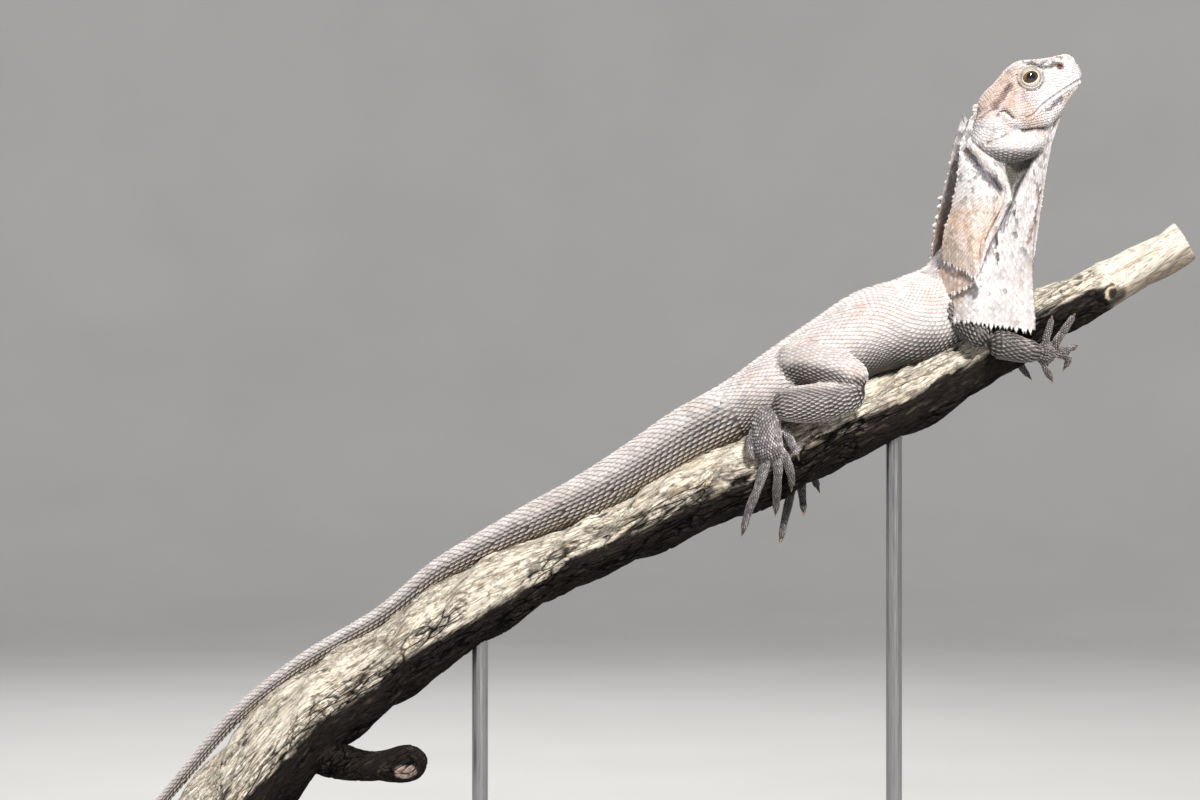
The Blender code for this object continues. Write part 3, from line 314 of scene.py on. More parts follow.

# Colours of the animal. The pale back against the dark flank and belly is partly the animal's own and partly
# painted light and shade.
BACK, FLANK, BELLY = (0.80, 0.72, 0.70), (0.085, 0.068, 0.062), (0.10, 0.08, 0.055)
BLUSH, SLATE = (0.60, 0.33, 0.25), (0.085, 0.08, 0.16)
TAIL_SIDE, TAIL_LOW = (0.25, 0.155, 0.12), (0.46, 0.32, 0.18)
LIMB, LIMB_DARK, TOE = (0.19, 0.15, 0.155), (0.05, 0.04, 0.034), (0.06, 0.05, 0.044)
FOOT, FOOT_PALE = (0.46, 0.405, 0.43), (0.84, 0.79, 0.81)
CHEEK, TEMPLE, INK = (0.84, 0.80, 0.82), (0.65, 0.45, 0.345), (0.025, 0.02, 0.022)
LIP_GREY, LID_CREAM, STREAK = (0.40, 0.38, 0.44), (0.70, 0.63, 0.53), (0.17, 0.085, 0.055)
FRILL_PALE, FRILL_GREY, FRILL_TAN = (0.84, 0.80, 0.81), (0.12, 0.108, 0.13), (0.66, 0.45, 0.32)
# The frill's bead colour, and the painted shade in the hollow before the throat.
FRILL_BEAD, HOLLOW_SHADE = (0.25, 0.09, 0.06), (0.06, 0.054, 0.034)
# The keels' pale tone, which also serves as the painted highlight on the scales.
KEEL_PALE_AND_HIGHLIGHT = (0.92, 0.88, 0.84)
UNDER_EYE, NOSTRIL_RED, LIMB_UNDER = (0.36, 0.37, 0.50), (0.24, 0.05, 0.05), (0.33, 0.24, 0.15)
FLECK = (0.10, 0.085, 0.07)
PUPIL, IRIS, AMBER = (0.003, 0.003, 0.003), (0.06, 0.03, 0.016), (0.42, 0.18, 0.05)
EYE_RIM, CLAW_COLOURS = (0.02, 0.014, 0.012), ((0.025, 0.018, 0.015), (0.46, 0.33, 0.18))
# The second colour is dark bark with painted shade on it.
CREAM_BARK, DARK_BARK_AND_SHADE, BARE_WOOD = (0.76, 0.69, 0.58), (0.017, 0.014, 0.012), (0.62, 0.57, 0.50)
TAN_BARK, BROWN_BARK = (0.50, 0.41, 0.30), (0.07, 0.056, 0.044)
GREY_WOOD, SHADED_WOOD = (0.46, 0.38, 0.29), (0.20, 0.16, 0.12)
YEAR_RINGS = ((0.50, 0.38, 0.24), (0.36, 0.25, 0.15))

# The ridge from the eye to the snout, and the temple's lower edge.
CANTHUS = [
    (167.5, 471.4), (171.5, 470.8), (175.5, 470.0), (179.5, 470.3), (183, 472.2), (188.5, 475.2),
]
TEMPLE_LOWER = [(166, 440), (160, 443), (152.8, 449.3), (148.9, 448), (144.4, 444.6)]
# Marks on the head and the frill: an x, z line, its width, colour, strength and raggedness.
HEAD_MARKS = [
    (CANTHUS[:5], 1.15, INK, 0.85, 0.3),
    ([(158.4, 460.6), (155.7, 456.6), (153.2, 453.2), (151.2, 450.4)], 2.2, STREAK, 0.85, 0.6),
    ([(158.6, 460.9), (156.6, 458.4)], 0.9, INK, 0.85, 0.2),
    (TEMPLE_EDGE, 0.75, STREAK, 0.7, 0.2),
    # Painted shade in the folds: the ear's rim, the fold under the ear and the jaw's lower edge.
    (EAR_RIM, 0.7, INK, 0.9, 0.1),
    (JOWL_CREASE, 0.7, FRILL_GREY, 0.7, 0.3),
    (JAW_EDGE, 0.95, (0.035, 0.03, 0.07), 0.9, 0.35),
    ([(168, 441.2), (173, 442), (178, 443)], 0.8, LIP_GREY, 0.6, 0.5),
    ([(181.4, 451.6), (184.6, 454.4)], 1.6, INK, 0.85, 0.6),
    ([(177, 448.4), (179.8, 450.2)], 1.3, INK, 0.75, 0.6),
    ([(186.3, 453.6), (189, 457.6)], 0.8, STREAK, 0.55, 0.4),
    # Painted shade under the jowl, along the top of the hollow before the throat.
    ([(150.4, 421.6), (155.9, 420.9), (161.4, 422.8), (166.9, 425.4), (172.3, 427.4)], 2.2, INK, 0.85, 1.1),
    ([(193.5, 463.4), (186, 458.6), (176, 452.4), (166, 445.6)], 0.6, LIP_GREY, 0.5, 0.3),
]
FRILL_MARKS = [
    # Painted shade in the frill's deep dent.
    ([(137, 428.5), (140.6, 423), (144.6, 417), (149, 412.6), (152.6, 409)], 3.0,
     (0.10, 0.09, 0.12), 0.95, 0.7),
    ([(136.5, 429), (139, 425.5)], 1.8, (0.16, 0.11, 0.07), 0.7, 0.5),
    # Painted shade in the groove, beside the rear lobe's edge and in the slit.
    ([(168.6, 421.5), (162.8, 411), (159.8, 403.5)], 1.7, (0.05, 0.05, 0.055), 0.95, 0.3),
    ([(159.8, 402), (156.8, 396), (154.5, 389)], 2.4, FRILL_GREY, 0.75, 1.1),
    ([(151.1, 386.5), (151.8, 371.4)], 0.9, INK, 0.9, 0.15),
    ([(175.2, 409.8), (173, 400), (171, 391), (168.4, 384), (167.6, 379)], 1.0, FRILL_BEAD, 0.8, 0.8),
    # A painted highlight along the ridge.
    ([(140, 428), (147, 422.4), (153, 416), (157.2, 410), (158.4, 404)], 1.5, KEEL_PALE_AND_HIGHLIGHT, 0.75, 0.3),
]
# The deep hollow in front of the throat, painted in shade, as corners x, z.
HOLLOW_CORNERS = [(154.6, 421.4), (173.2, 427.4), (159.4, 408.6)]


def smoothstep(value, low, high):
    part = np.clip((np.asarray(value, float) - low) / (high - low), 0.0, 1.0)
    return part * part * (3.0 - 2.0 * part)


def bell(distance, width):
    """1 at no distance, and fading to nothing over about two widths."""
    return np.exp(-(distance / width) ** 2)


def curve(keys, at):
    """A smooth curve through keys, whose first column is the parameter, read at each value."""
    keys = np.asarray(keys, float)
    knots, values = keys[:, 0], keys[:, 1:]
    at = np.asarray(at, float)
    slope = np.gradient(values, knots, axis=0)
    i = np.clip(np.searchsorted(knots, at, side="right") - 1, 0, len(knots) - 2)
    step = (knots[i + 1] - knots[i])[..., None]
    t = (at - knots[i])[..., None] / step
    return (values[i] * (1 + 2 * t) * (1 - t) ** 2 + slope[i] * step * t * (1 - t) ** 2
            + values[i + 1] * t * t * (3 - 2 * t) + slope[i + 1] * step * t * t * (t - 1))


def run_of(points):
    """How far along a line of points each of them lies."""
    return np.concatenate([[0.0], np.cumsum(np.linalg.norm(np.diff(points, axis=0), axis=1))])


def line(rows):
    """The rows with their distance along the line in front, which curve() reads."""
    rows = np.asarray(rows, float)
    return np.column_stack([run_of(rows[:, :3]), rows])


def unit(vectors):
    return vectors / np.maximum(np.linalg.norm(vectors, axis=-1, keepdims=True), 1e-12)


def mixed(first, second, share):
    """Colours between two, one for each share."""
    return np.asarray(first) + (np.asarray(second) - np.asarray(first)) * np.asarray(share)[..., None]


def cell_key(cell, seed):
    return cell @ np.array([73856093, 19349663, 83492791]) + seed * 2971215073


def rough(points, size, seed=0):
    """Smooth noise from -1 to 1 whose swells are about size across."""
    places = np.asarray(points, float) / size + seed * 7.31
    cell = np.floor(places).astype(np.int64)
    part = places - cell
    part = part * part * (3 - 2 * part)
    total = np.zeros(len(places))
    for corner in np.ndindex(2, 2, 2):
        key = cell_key(cell + corner, seed)
        key = (key ^ (key >> 13)) * 1274126177 & 0xFFFFFFFF
        value = ((key ^ (key >> 16)) & 0xFFFF) / 65535.0
        total += value * np.prod(np.where(np.array(corner) == 1, part, 1 - part), axis=1)
    return total * 2 - 1


def cells(points, size, seed=0):
    """Each point's distance to the border of the cell it lies in, and a value of its own cell."""
    places = np.asarray(points, float) / size
    base = np.floor(places).astype(np.int64)
    near, second = np.full(len(places), 9.0), np.full(len(places), 9.0)
    own = np.zeros(len(places))
    for step in np.ndindex(3, 3, 3):
        cell = base + np.array(step) - 1
        key = cell_key(cell, seed)
        drawn = []
        for _ in range(4):
            key = (key ^ (key >> 15)) * 2246822519 & 0xFFFFFFFF
            drawn.append(((key ^ (key >> 13)) & 0xFFFF) / 65535.0)
        away = np.linalg.norm(cell + np.stack(drawn[:3], 1) - places, axis=1)
        closer = away < near
        second = np.where(closer, near, np.minimum(second, away))
        own = np.where(closer, drawn[3], own)
        near = np.where(closer, away, near)
    return (second - near) * size, own


def away_from(places, x, z):
    """Each place's distance from x, z, seen from the side."""
    return np.hypot(places[:, 0] - x, places[:, 2] - z)


def beside_line(points, keys):
    """Each point's distance to a line of x, z places, and 1 on its rear side or -1 in front."""
    points, keys = np.asarray(points)[:, [0, 2]], np.asarray(keys, float)
    best, side = np.full(len(points), 1e9), np.ones(len(points))
    for start, run in zip(keys, np.diff(keys, axis=0)):
        share = np.clip(((points - start) @ run) / (run @ run), 0, 1)
        away = points - start - share[:, None] * run
        reach = np.linalg.norm(away, axis=1)
        rear = np.where(run[0] * away[:, 1] - run[1] * away[:, 0] < 0, 1.0, -1.0)
        side = np.where(reach < best, rear, side)
        best = np.minimum(best, reach)
    return best, side


def to_line(points, keys):
    return beside_line(points, keys)[0]


def outside_of(points, corners):
    """How far each point lies outside a flat shape with x, z corners, negative inside it."""
    points, corners = np.asarray(points)[:, [0, 2]], np.asarray(corners, float)
    middle = corners.mean(0)
    far = np.full(len(points), -1e9)
    for start, end in zip(corners, np.roll(corners, -1, axis=0)):
        out = unit(np.array([end[1] - start[1], start[0] - end[0]]))
        out = out if (middle - start) @ out < 0 else -out
        far = np.maximum(far, (points - start) @ out)
    return far


# Meshes.

def grid_corners(rows, columns, closed=(False, False)):
    """The corners of a grid's quads: each point, the one beside it, the one beside and ahead,
    and the one ahead. A closed grid comes round to its first row or column again."""
    i, j = np.meshgrid(np.arange(rows if closed[0] else rows - 1),
                       np.arange(columns if closed[1] else columns - 1), indexing="ij")
    i, j = i.ravel(), j.ravel()
    ahead, beside = (i + 1) % rows, (j + 1) % columns
    return i * columns + j, i * columns + beside, ahead * columns + beside, ahead * columns + j


def grid_rim(rows, columns):
    """The points round the rim of a grid, in order."""
    index = np.arange(rows * columns).reshape(rows, columns)
    return np.concatenate([index[:, 0], index[-1, 1:], index[-2::-1, -1], index[0, -2:0:-1]])


def halved(a, b, c, d):
    """Two triangles for each quad."""
    return np.concatenate([np.stack([a, b, c], 1), np.stack([a, c, d], 1)])


def tube_mesh(rings):
    """Points and faces of a closed tube: rings of equal count, and a fan on each end."""
    count, sides = rings.shape[:2]
    points = np.concatenate([rings.reshape(-1, 3), rings[0].mean(0)[None], rings[-1].mean(0)[None]])
    j = np.arange(sides)
    k = (j + 1) % sides
    first, base = np.full(sides, count * sides), (count - 1) * sides
    triangles = np.concatenate([halved(*grid_corners(count, sides, (False, True))),
                                np.stack([first, k, j], 1),
                                np.stack([first + 1, base + j, base + k], 1)])
    return points, triangles


def object_of(name, points, faces):
    """An object from points in millimetres and faces that all have the same number of corners."""
    mesh = bpy.data.meshes.new(name)
    mesh.vertices.add(len(points))
    mesh.vertices.foreach_set("co", (np.asarray(points) * MM).astype(np.float32).ravel())
    faces = np.asarray(faces, np.int32)
    mesh.loops.add(faces.size)
    mesh.loops.foreach_set("vertex_index", faces.ravel())
    mesh.polygons.add(len(faces))
    mesh.polygons.foreach_set("loop_start", np.arange(len(faces), dtype=np.int32) * faces.shape[1])
    mesh.update(calc_edges=True)
    mesh.shade_smooth()
    piece = bpy.data.objects.new(name, mesh)
    bpy.context.scene.collection.objects.link(piece)
    return piece


def joined(shapes):
    """Several points and faces as one."""
    points, faces, start = [], [], 0
    for these, corners in shapes:
        points.append(np.asarray(these))
        faces.append(np.asarray(corners) + start)
        start += len(these)
    return np.concatenate(points), np.concatenate(faces)


def places_of(piece):
    """The points of a piece in millimetres."""
    places = np.empty(len(piece.data.vertices) * 3, np.float32)
    piece.data.vertices.foreach_get("co", places)
    return places.reshape(-1, 3).astype(float) / MM


def normals_of(piece):
    normals = np.empty(len(piece.data.vertices) * 3, np.float32)
    piece.data.vertex_normals.foreach_get("vector", normals)
    return normals.reshape(-1, 3).astype(float)


def move_to(piece, places):
    piece.data.vertices.foreach_set("co", (places * MM).astype(np.float32).ravel())
    piece.data.update()


def triangles_of(piece):
    piece.data.calc_loop_triangles()
    corners = np.empty(len(piece.data.loop_triangles) * 3, np.int32)
    piece.data.loop_triangles.foreach_get("vertices", corners)
    return corners.reshape(-1, 3)


def paint(piece, colours, split=None):
    """Gives each point of the piece its colour and how much bark cracks show there."""
    layer = piece.data.attributes.new("mark", "FLOAT_COLOR", "POINT")
    split = np.ones(len(colours)) if split is None else split
    rows = np.column_stack([np.clip(colours, 0.005, 0.95), split])
    layer.data.foreach_set("color", rows.astype(np.float32).ravel())


def lay_out(piece, places, faces):
    """Gives the corners of the faces their places on the sheet that the marks are baked to."""
    layer = piece.data.uv_layers.new(name="OFBake")
    layer.data.foreach_set("uv", places[faces.ravel()].astype(np.float32).ravel())


def shaped_by_modifiers(piece):
    """Puts the mesh that the piece's modifiers make in the place of its own."""
    bpy.context.view_layer.update()
    shaped = piece.evaluated_get(bpy.context.evaluated_depsgraph_get())
    mesh = bpy.data.meshes.new_from_object(shaped)
    piece.modifiers.clear()
    piece.data = mesh
    mesh.name = piece.name
    mesh.shade_smooth()


def nearest_in(centres, places):
    """Which of the centres is nearest to each place."""
    tree = KDTree(len(centres))
    for i, centre in enumerate(centres):
        tree.insert(centre, i)
    tree.balance()
    return np.array([tree.find(place)[1] for place in places])


def grown_together(name, shapes, voxel, smoothing):
    """One closed skin round several overlapping shapes."""
    piece = object_of(name, *joined(shapes))
    remesh = piece.modifiers.new("Grown together", "REMESH")
    remesh.mode = "VOXEL"
    remesh.voxel_size = voxel * MM
    smooth = piece.modifiers.new("Smoothed", "SMOOTH")
    smooth.factor, smooth.iterations = 0.5, smoothing
    shaped_by_modifiers(piece)
    return piece


# The forms of the flesh, as rings.

def frames(centres, side=UPRIGHT):
    """The directions along, across and up at each centre of a line."""
    along = unit(np.gradient(centres, axis=0))
    across = unit(np.asarray(side) - along * (along @ np.asarray(side))[:, None])
    return along, across, np.cross(along, across)


def rings_of(rows, sides, side=UPRIGHT):
    """Oval rings round rows of x, y, z, half width, half height above, half height below."""
    angles = np.linspace(0, 2 * np.pi, sides, endpoint=False) + np.pi / 2
    centres = rows[:, :3]
    _, across, up = frames(centres, side)
    high = np.where(np.sin(angles) >= 0, rows[:, 4:5], rows[:, 5:6]) * np.sin(angles)
    wide = rows[:, 3:4] * np.cos(angles)
    return centres[:, None] + across[:, None] * wide[..., None] + up[:, None] * high[..., None]


def trunk_rings(keys, count, sides, side=UPRIGHT):
    track = line(keys)
    rows = curve(track, np.linspace(0, track[-1, 0], count))
    rows[:, 3:] = np.maximum(rows[:, 3:] - COAT, 0.4)
    return rings_of(rows, sides, side)


def limb_rings(keys, count, sides, less=COAT):
    """Rings of a limb with domed ends, from rows of x, y, z, radius."""
    track = line(keys)
    length = track[-1, 0]
    first, last = track[0, 4], track[-1, 4]
    at = length * (0.5 - 0.5 * np.cos(np.linspace(0.02, 1, count) * np.pi))
    rows = curve(track, at)
    near_first = np.sqrt(np.clip(1 - (np.clip(first - at, 0, None) / first) ** 2, 0.02, 1))
    near_last = np.sqrt(np.clip(1 - (np.clip(at - length + last, 0, None) / last) ** 2, 0.02, 1))
    radius = np.maximum(rows[:, 3] * near_first * near_last - less, 0.3)
    return rings_of(np.column_stack([rows[:, :3], radius, radius, radius]), sides)


def sided(rows, sign):
    """Rows whose second value is a distance from the middle, put on one side."""
    rows = np.asarray(rows, float).copy()
    rows[:, 1] *= sign
    return rows


HEAD_BACK = np.array([-math.cos(HEAD_PITCH), 0.0, -math.sin(HEAD_PITCH)])
HEAD_UP = np.array([-math.sin(HEAD_PITCH), 0.0, math.cos(HEAD_PITCH)])


def head_place(a, h, w):
    """A place in the head's own axes, in the frame's."""
    a, h, w = (np.asarray(value, float)[..., None] for value in (a, h, w))
    return SNOUT + a * HEAD_BACK + h * HEAD_UP + w * np.array(UPRIGHT)


def in_head(points):
    """Places in the frame's axes, in the head's: a, h, w."""
    away = np.asarray(points) - SNOUT
    return away @ HEAD_BACK, away @ HEAD_UP, away[..., 1]


def head_rings(count, sides):
    stations = np.asarray(HEAD_STATIONS)
    spread = np.linspace(0, 1, count) ** 1.35
    at = stations[0, 0] + (stations[-1, 0] - stations[0, 0]) * spread
    rings = []
    for a, row in zip(at, curve(stations, at)):
        roof, brow_w, brow_h, cheek_w, cheek_h, jaw_w, jaw_h, throat = row
        places = [(0, roof), (brow_w, brow_h), (cheek_w, cheek_h), (jaw_w, jaw_h), (0, throat),
                  (-jaw_w, jaw_h), (-cheek_w, cheek_h), (-brow_w, brow_h)]
        turns = np.arange(-2, len(places) + 3)
        keys = np.column_stack([turns, [places[i % len(places)] for i in turns]])
        outline = curve(keys, np.linspace(0, len(places), sides, endpoint=False))
        away = unit(outline - outline.mean(0))
        outline = outline - away * COAT
        rings.append(head_place(np.full(sides, a), outline[:, 1], outline[:, 0]))
    return np.array(rings)


def ball_rings(place, radii, sides=32, rows=20):
    """Rings of an oval ball turned with the head, radii along a, h and w."""
    lat = np.linspace(0, np.pi, rows + 2)[1:-1]
    lon = np.linspace(0, 2 * np.pi, sides, endpoint=False)
    a, h, w = place
    return head_place(a + radii[0] * np.sin(lat)[:, None] * np.cos(lon),
                      h + radii[1] * np.sin(lat)[:, None] * np.sin(lon),
                      w + radii[2] * np.cos(lat)[:, None] * np.ones(sides))


def digit_track(name, rows, sign):
    root = np.mean(np.asarray(PALMS[name])[1:, :3], axis=0)
    return line(sided([root, *rows], sign))


def digit_rings(name, rows, sign, count=26, sides=12):
    """A toe or finger with slightly swollen joints."""
    radii = DIGIT_RADIUS[name.split("_")[0]]
    track = digit_track(name, rows, sign)
    share = np.linspace(0, 1, count)
    places = curve(track, share * track[-1, 0])
    joints = 1 + 0.07 * np.cos(share * 6 * np.pi)
    tip = np.sqrt(np.clip(1 - ((share - 0.9) / 0.1).clip(0, 1) ** 2, 0.06, 1))
    radius = (radii[0] + (radii[1] - radii[0]) * share) * joints * tip
    return rings_of(np.column_stack([places, radius, radius, radius]), sides)


def frill_sheet(side):
    """The middle of one half of the folded frill and its outward direction, as a grid."""
    sign = -1 if side == "right" else 1
    s = np.linspace(0, 1, FRILL_COLUMNS)[:, None]
    t = np.linspace(0, 1, FRILL_ROWS)[None]
    fold = smoothstep(t, PLEAT_FROM, PLEAT_FULL)
    crest = curve(PLEAT_CREST, t[0])[:, 0][None]
    valley = curve(PLEAT_VALLEY, t[0])[:, 0][None]
    back, on = PLEAT_TURNS
    q = np.where(s < back, crest * np.sin(np.clip(s / back, 0, 1) * np.pi / 2),
                 crest + (valley - crest) * smoothstep(s, back, on))
    rest = np.clip((s - on) / (1 - on), 0, 1)
    q = np.where(s < on, q, valley + (1 - valley) * (1 - np.cos(rest * np.pi / 2)))
    q = s + (q - s) * fold
    top = curve(FRILL_TOP, s[:, 0])[:, 0][:, None]
    foot = curve(FRILL_FOOT, s[:, 0])[:, 0][:, None]
    z = top + (foot - top) * t
    x_rear, x_front = (curve(np.asarray(edge[side])[::-1, ::-1], z)[..., 0]
                       for edge in (REAR_EDGE, FRONT_EDGE))
    x = x_rear + q * (x_front - x_rear)
    y_rear, y_side, y_front = curve(FRILL_REACH, t[0]).T[:, None]
    rearward = np.sin(np.clip(q / FRILL_WIDEST, -0.2, 1) * np.pi / 2)
    forward = np.cos(np.clip((q - FRILL_WIDEST) / (1 - FRILL_WIDEST), 0, 1) * np.pi / 2)
    y = np.where(q < FRILL_WIDEST, y_rear + (y_side - y_rear) * rearward,
                 y_front + (y_side - y_front) * forward)
    layer = (0.5 - smoothstep(s, 0.3, 0.7)) * PLEAT_DEEP * fold
    y = y + layer * smoothstep(q, -0.2, 0.15) * (1 - smoothstep(q, 0.75, 1.0))
    flat = np.stack([x, y, z], axis=2).reshape(-1, 3)
    for keys, width, depth in FRILL_DENTS:
        y = y + (depth * bell(to_line(flat, keys), width)).reshape(y.shape)
    away, side_of = beside_line(flat, LOBE_EDGE)
    step = LOBE_STEP * np.exp(-(away / LOBE_REACH)) * np.clip(side_of * away / 0.4, -1, 1)
    y = y + step.reshape(y.shape)
    ripple = 0.3 * np.sin(s * 44 + 3 * np.sin(t * 5)) * smoothstep(t, 0.2, 1.0)
    sheet = np.stack([x, sign * (y + ripple), z], axis=2)
    return sheet, unit(np.cross(np.gradient(sheet, axis=0), np.gradient(sheet, axis=1)))


def sheet_faces():
    """Triangles of one face of a frill half, and of both faces with the strips round the rim."""
    here, beside, both, ahead = grid_corners(FRILL_COLUMNS, FRILL_ROWS)
    face = halved(here, ahead, both, beside)
    rim = grid_rim(FRILL_COLUMNS, FRILL_ROWS)
    after, back = np.roll(rim, -1), FRILL_COLUMNS * FRILL_ROWS
    return face, np.concatenate([face, face[:, ::-1] + back, halved(rim, rim + back, after + back, after)])


def frill_faces(side):
    """The two faces of a frill half, each as a grid of points with its outward direction."""
    sheet, normal = frill_sheet(side)
    t = np.linspace(0, 1, FRILL_ROWS)[None, :, None]
    half = (FRILL_THICK_ROOT + (FRILL_THICK_RIM - FRILL_THICK_ROOT) * t) / 2
    return (sheet + normal * half, normal), (sheet - normal * half, -normal)


# The skin.

def limb_tubes():
    """Every limb and palm: name, rings and the pitch of its scales."""
    tubes = []
    for side, sign in SIDES:
        for part, rows in LEGS[side].items():
            tubes.append((f"{part}_{side}", limb_rings(sided(rows, sign), *LIMB_RINGS), LIMB_PITCH))
        for end in ("hand", "foot"):
            name = f"{end}_{side}"
            tubes.append((name, limb_rings(sided(PALMS[name], sign), *PALM_RINGS, 0.1), PALM_PITCH))
    return tubes


def digits():
    """Every toe and finger: the hand or foot it is on, its rows and its side's sign."""
    return [(name, rows, -1 if name.endswith("right") else 1)
            for name, all_rows in DIGITS.items() for rows in all_rows]


def jowl_rings(rows, sign):
    return limb_rings(sided(rows, sign), *JOWL_RINGS)


def mouth_height(a):
    """The height of the mouth line, which ends at the snout and under the cheek."""
    return curve(MOUTH_LINE, np.clip(a, MOUTH_LINE[0][0], MOUTH_LINE[-1][0]))[:, 0]


def sculpt_head(piece):
    """Presses the eyes' openings, brows, nostrils, mouth, ears and folds into the head."""
    places, normals = places_of(piece), normals_of(piece)
    a, h, w = in_head(places)
    out = abs(w)
    lip = h - mouth_height(a)
    along = smoothstep(a, -6, -1) * (1 - smoothstep(a, 34, 38.5))
    depth = along * (0.3 * (bell(lip - 1.3, 0.8) + bell(lip + 1.3, 0.8)) - 0.75 * bell(lip, 0.42))
    for keys, width, height, start in HEAD_RIDGES:
        depth += height * bell(to_line(np.stack([a, w, h], 1), keys), width) * (out > start)
    for keys, width, height, start in HEAD_FOLDS:
        depth += height * bell(to_line(places, keys), width) * (out > start)
    nostril = np.hypot(a - NOSTRIL_AT[0], h - NOSTRIL_AT[1])
    depth += (out > 3) * (0.55 * bell(nostril - 1.9, 0.6) - 1.7 * bell(nostril, 0.95))
    depth += 0.8 * bell(np.hypot((a - 33) / 9, (h + 7) / 7), 1) * (out > 7)
    eye = np.hypot(a - EYE_AT[0], h - EYE_AT[1])
    depth -= 0.7 * bell(eye - 7.4, 0.8) * (out > 3) * (h < EYE_AT[1] + 4)
    depth += 0.5 * bell(np.hypot(a - EAR_AT[0], h - EAR_AT[1]), 2.0) * (out > 6)
    inside = (a > -8) & (a < 60) & (h > -24) & (h < 20)
    places += normals * (depth * inside)[:, None]
    opening = np.hypot((a - EYE_AT[0]) / LID_OPENING[0], (h - EYE_AT[1]) / LID_OPENING[1])
    ball = EYE_DEEP + np.sqrt(np.clip((EYE_RADIUS - 0.9) ** 2 - eye ** 2, 0, None))
    sunk = (1 - smoothstep(opening, 0.95, 1.12)) * (out > 5)
    places[:, 1] -= np.sign(w) * np.clip(out - ball, 0, None) * sunk
    move_to(piece, places)


def push_out(places, tree, gap):
    """Moves the places that lie inside a surface, or nearer than the gap, back onto its outside."""
    moved = places.copy()
    for i, place in enumerate(places):
        spot, normal, _, _ = tree.find_nearest(Vector(place), 25.0)
        if spot is None:
            continue
        away = np.array(place) - np.array(spot)
        if away @ np.array(normal) < gap:
            moved[i] = np.array(spot) + np.array(normal) * gap
    return moved


def tree_of(points, faces):
    return BVHTree.FromPolygons(points.tolist(), faces.tolist())


def ease_folds(piece):
    """Softens the creases where the legs and the jowls grow out of the body, and leaves the rest."""
    places = places_of(piece)
    near = np.zeros(len(places))
    for x, z, reach in SOFT_FOLDS:
        near = np.maximum(near, 1 - smoothstep(away_from(places, x, z), reach * 0.6, reach))
    group = piece.vertex_groups.new(name="eased")
    for i in np.nonzero(near > 0.02)[0]:
        group.add([int(i)], float(near[i]), "REPLACE")
    smooth = piece.modifiers.new("Eased", "SMOOTH")
    smooth.factor, smooth.iterations, smooth.vertex_group = 0.5, 30, "eased"
    shaped_by_modifiers(piece)


def make_flesh(branch_tree):
    """The body, head, legs and toes grown together into one closed skin, without the frill."""
    rings = [trunk_rings(BODY_LINE, *BODY_RINGS), trunk_rings(TAIL_LINE, *TAIL_RINGS, TAIL_SIDEWAYS),
             head_rings(*HEAD_RINGS)]
    for _, sign in SIDES:
        rings.append(ball_rings((*EYE_AT, sign * EYE_DEEP), (LID_RADIUS - COAT * 0.5,) * 3))
        rings += [jowl_rings(rows, sign) for rows in (JOWL_LINE, EAR_LOBE)]
    rings += [tube for _, tube, _ in limb_tubes()]
    rings += [digit_rings(*digit) for digit in digits()]
    flesh = grown_together("skin", [tube_mesh(tube) for tube in rings], SKIN_VOXEL, 3)
    ease_folds(flesh)
    sculpt_head(flesh)
    places = places_of(flesh)
    low = (places[:, 0] < 190) & (places[:, 2] < 400)
    places[low] = push_out(places[low], branch_tree, SKIN_GAP)
    move_to(flesh, places)
    return flesh


# Scales.

def scale_form(rows, columns, heights, keel):
    """A scale of its own length, width and height: rows are how far along and how wide."""
    rows = np.asarray(rows, float)
    across = np.linspace(-1, 1, columns)
    u = np.repeat(rows[:, 0], columns)
    v = (rows[:, 1:2] * across).ravel()
    side, middle = np.asarray(heights, float).T
    lift = 1 - abs(across) if keel else 1 - across ** 2
    w = (side[:, None] + (middle - side)[:, None] * lift).ravel()
    # Painted light across the scale: low at its root and edges for painted shade, high on its keel for a
    # painted highlight.
    light = np.repeat(np.linspace(0.1, 1, len(rows)), columns) * np.tile(lift, len(rows))
    local = np.column_stack([np.append(u, 0.5), np.append(v, 0), np.append(w, -0.5)])
    here, beside, both, ahead = grid_corners(len(rows), columns)
    rim = grid_rim(len(rows), columns)
    under = np.stack([np.full(len(rim), len(u)), np.roll(rim, -1), rim], 1)
    return local, np.concatenate([halved(here, ahead, both, beside), under]), np.append(light, 0.0)


KEELED = scale_form([(-0.08, 0.26), (0.2, 0.46), (0.5, 0.5), (0.8, 0.33), (1.1, 0.04)], 3,
                    [(-0.2, -0.1), (0.0, 0.42), (0.1, 0.72), (0.2, 0.95), (0.7, 0.85)], True)
GRAIN = scale_form([(0.0, 0.26), (0.3, 0.48), (0.68, 0.46), (1.0, 0.2)], 4,
                   [(-0.2, 0.0), (-0.1, 0.8), (0.0, 1.0), (0.0, 0.55)], False)
PLATE = scale_form([(0.0, 0.42), (0.2, 0.49), (0.8, 0.49), (1.0, 0.42)], 4,
                   [(-0.3, -0.2), (0.2, 0.9), (0.2, 1.0), (-0.1, 0.2)], False)
TOOTH = scale_form([(-0.25, 0.42), (0.1, 0.5), (0.5, 0.34), (1.0, 0.03)], 4,
                   [(-0.4, 0.6), (-0.2, 0.9), (-0.1, 0.8), (0.0, 0.2)], False)


# A site for a scale is a row: place, direction along, normal, and its shares round and along.
SITE_VALUES = 11
WHOLE_SHEET = (0, 0, 1, 1)


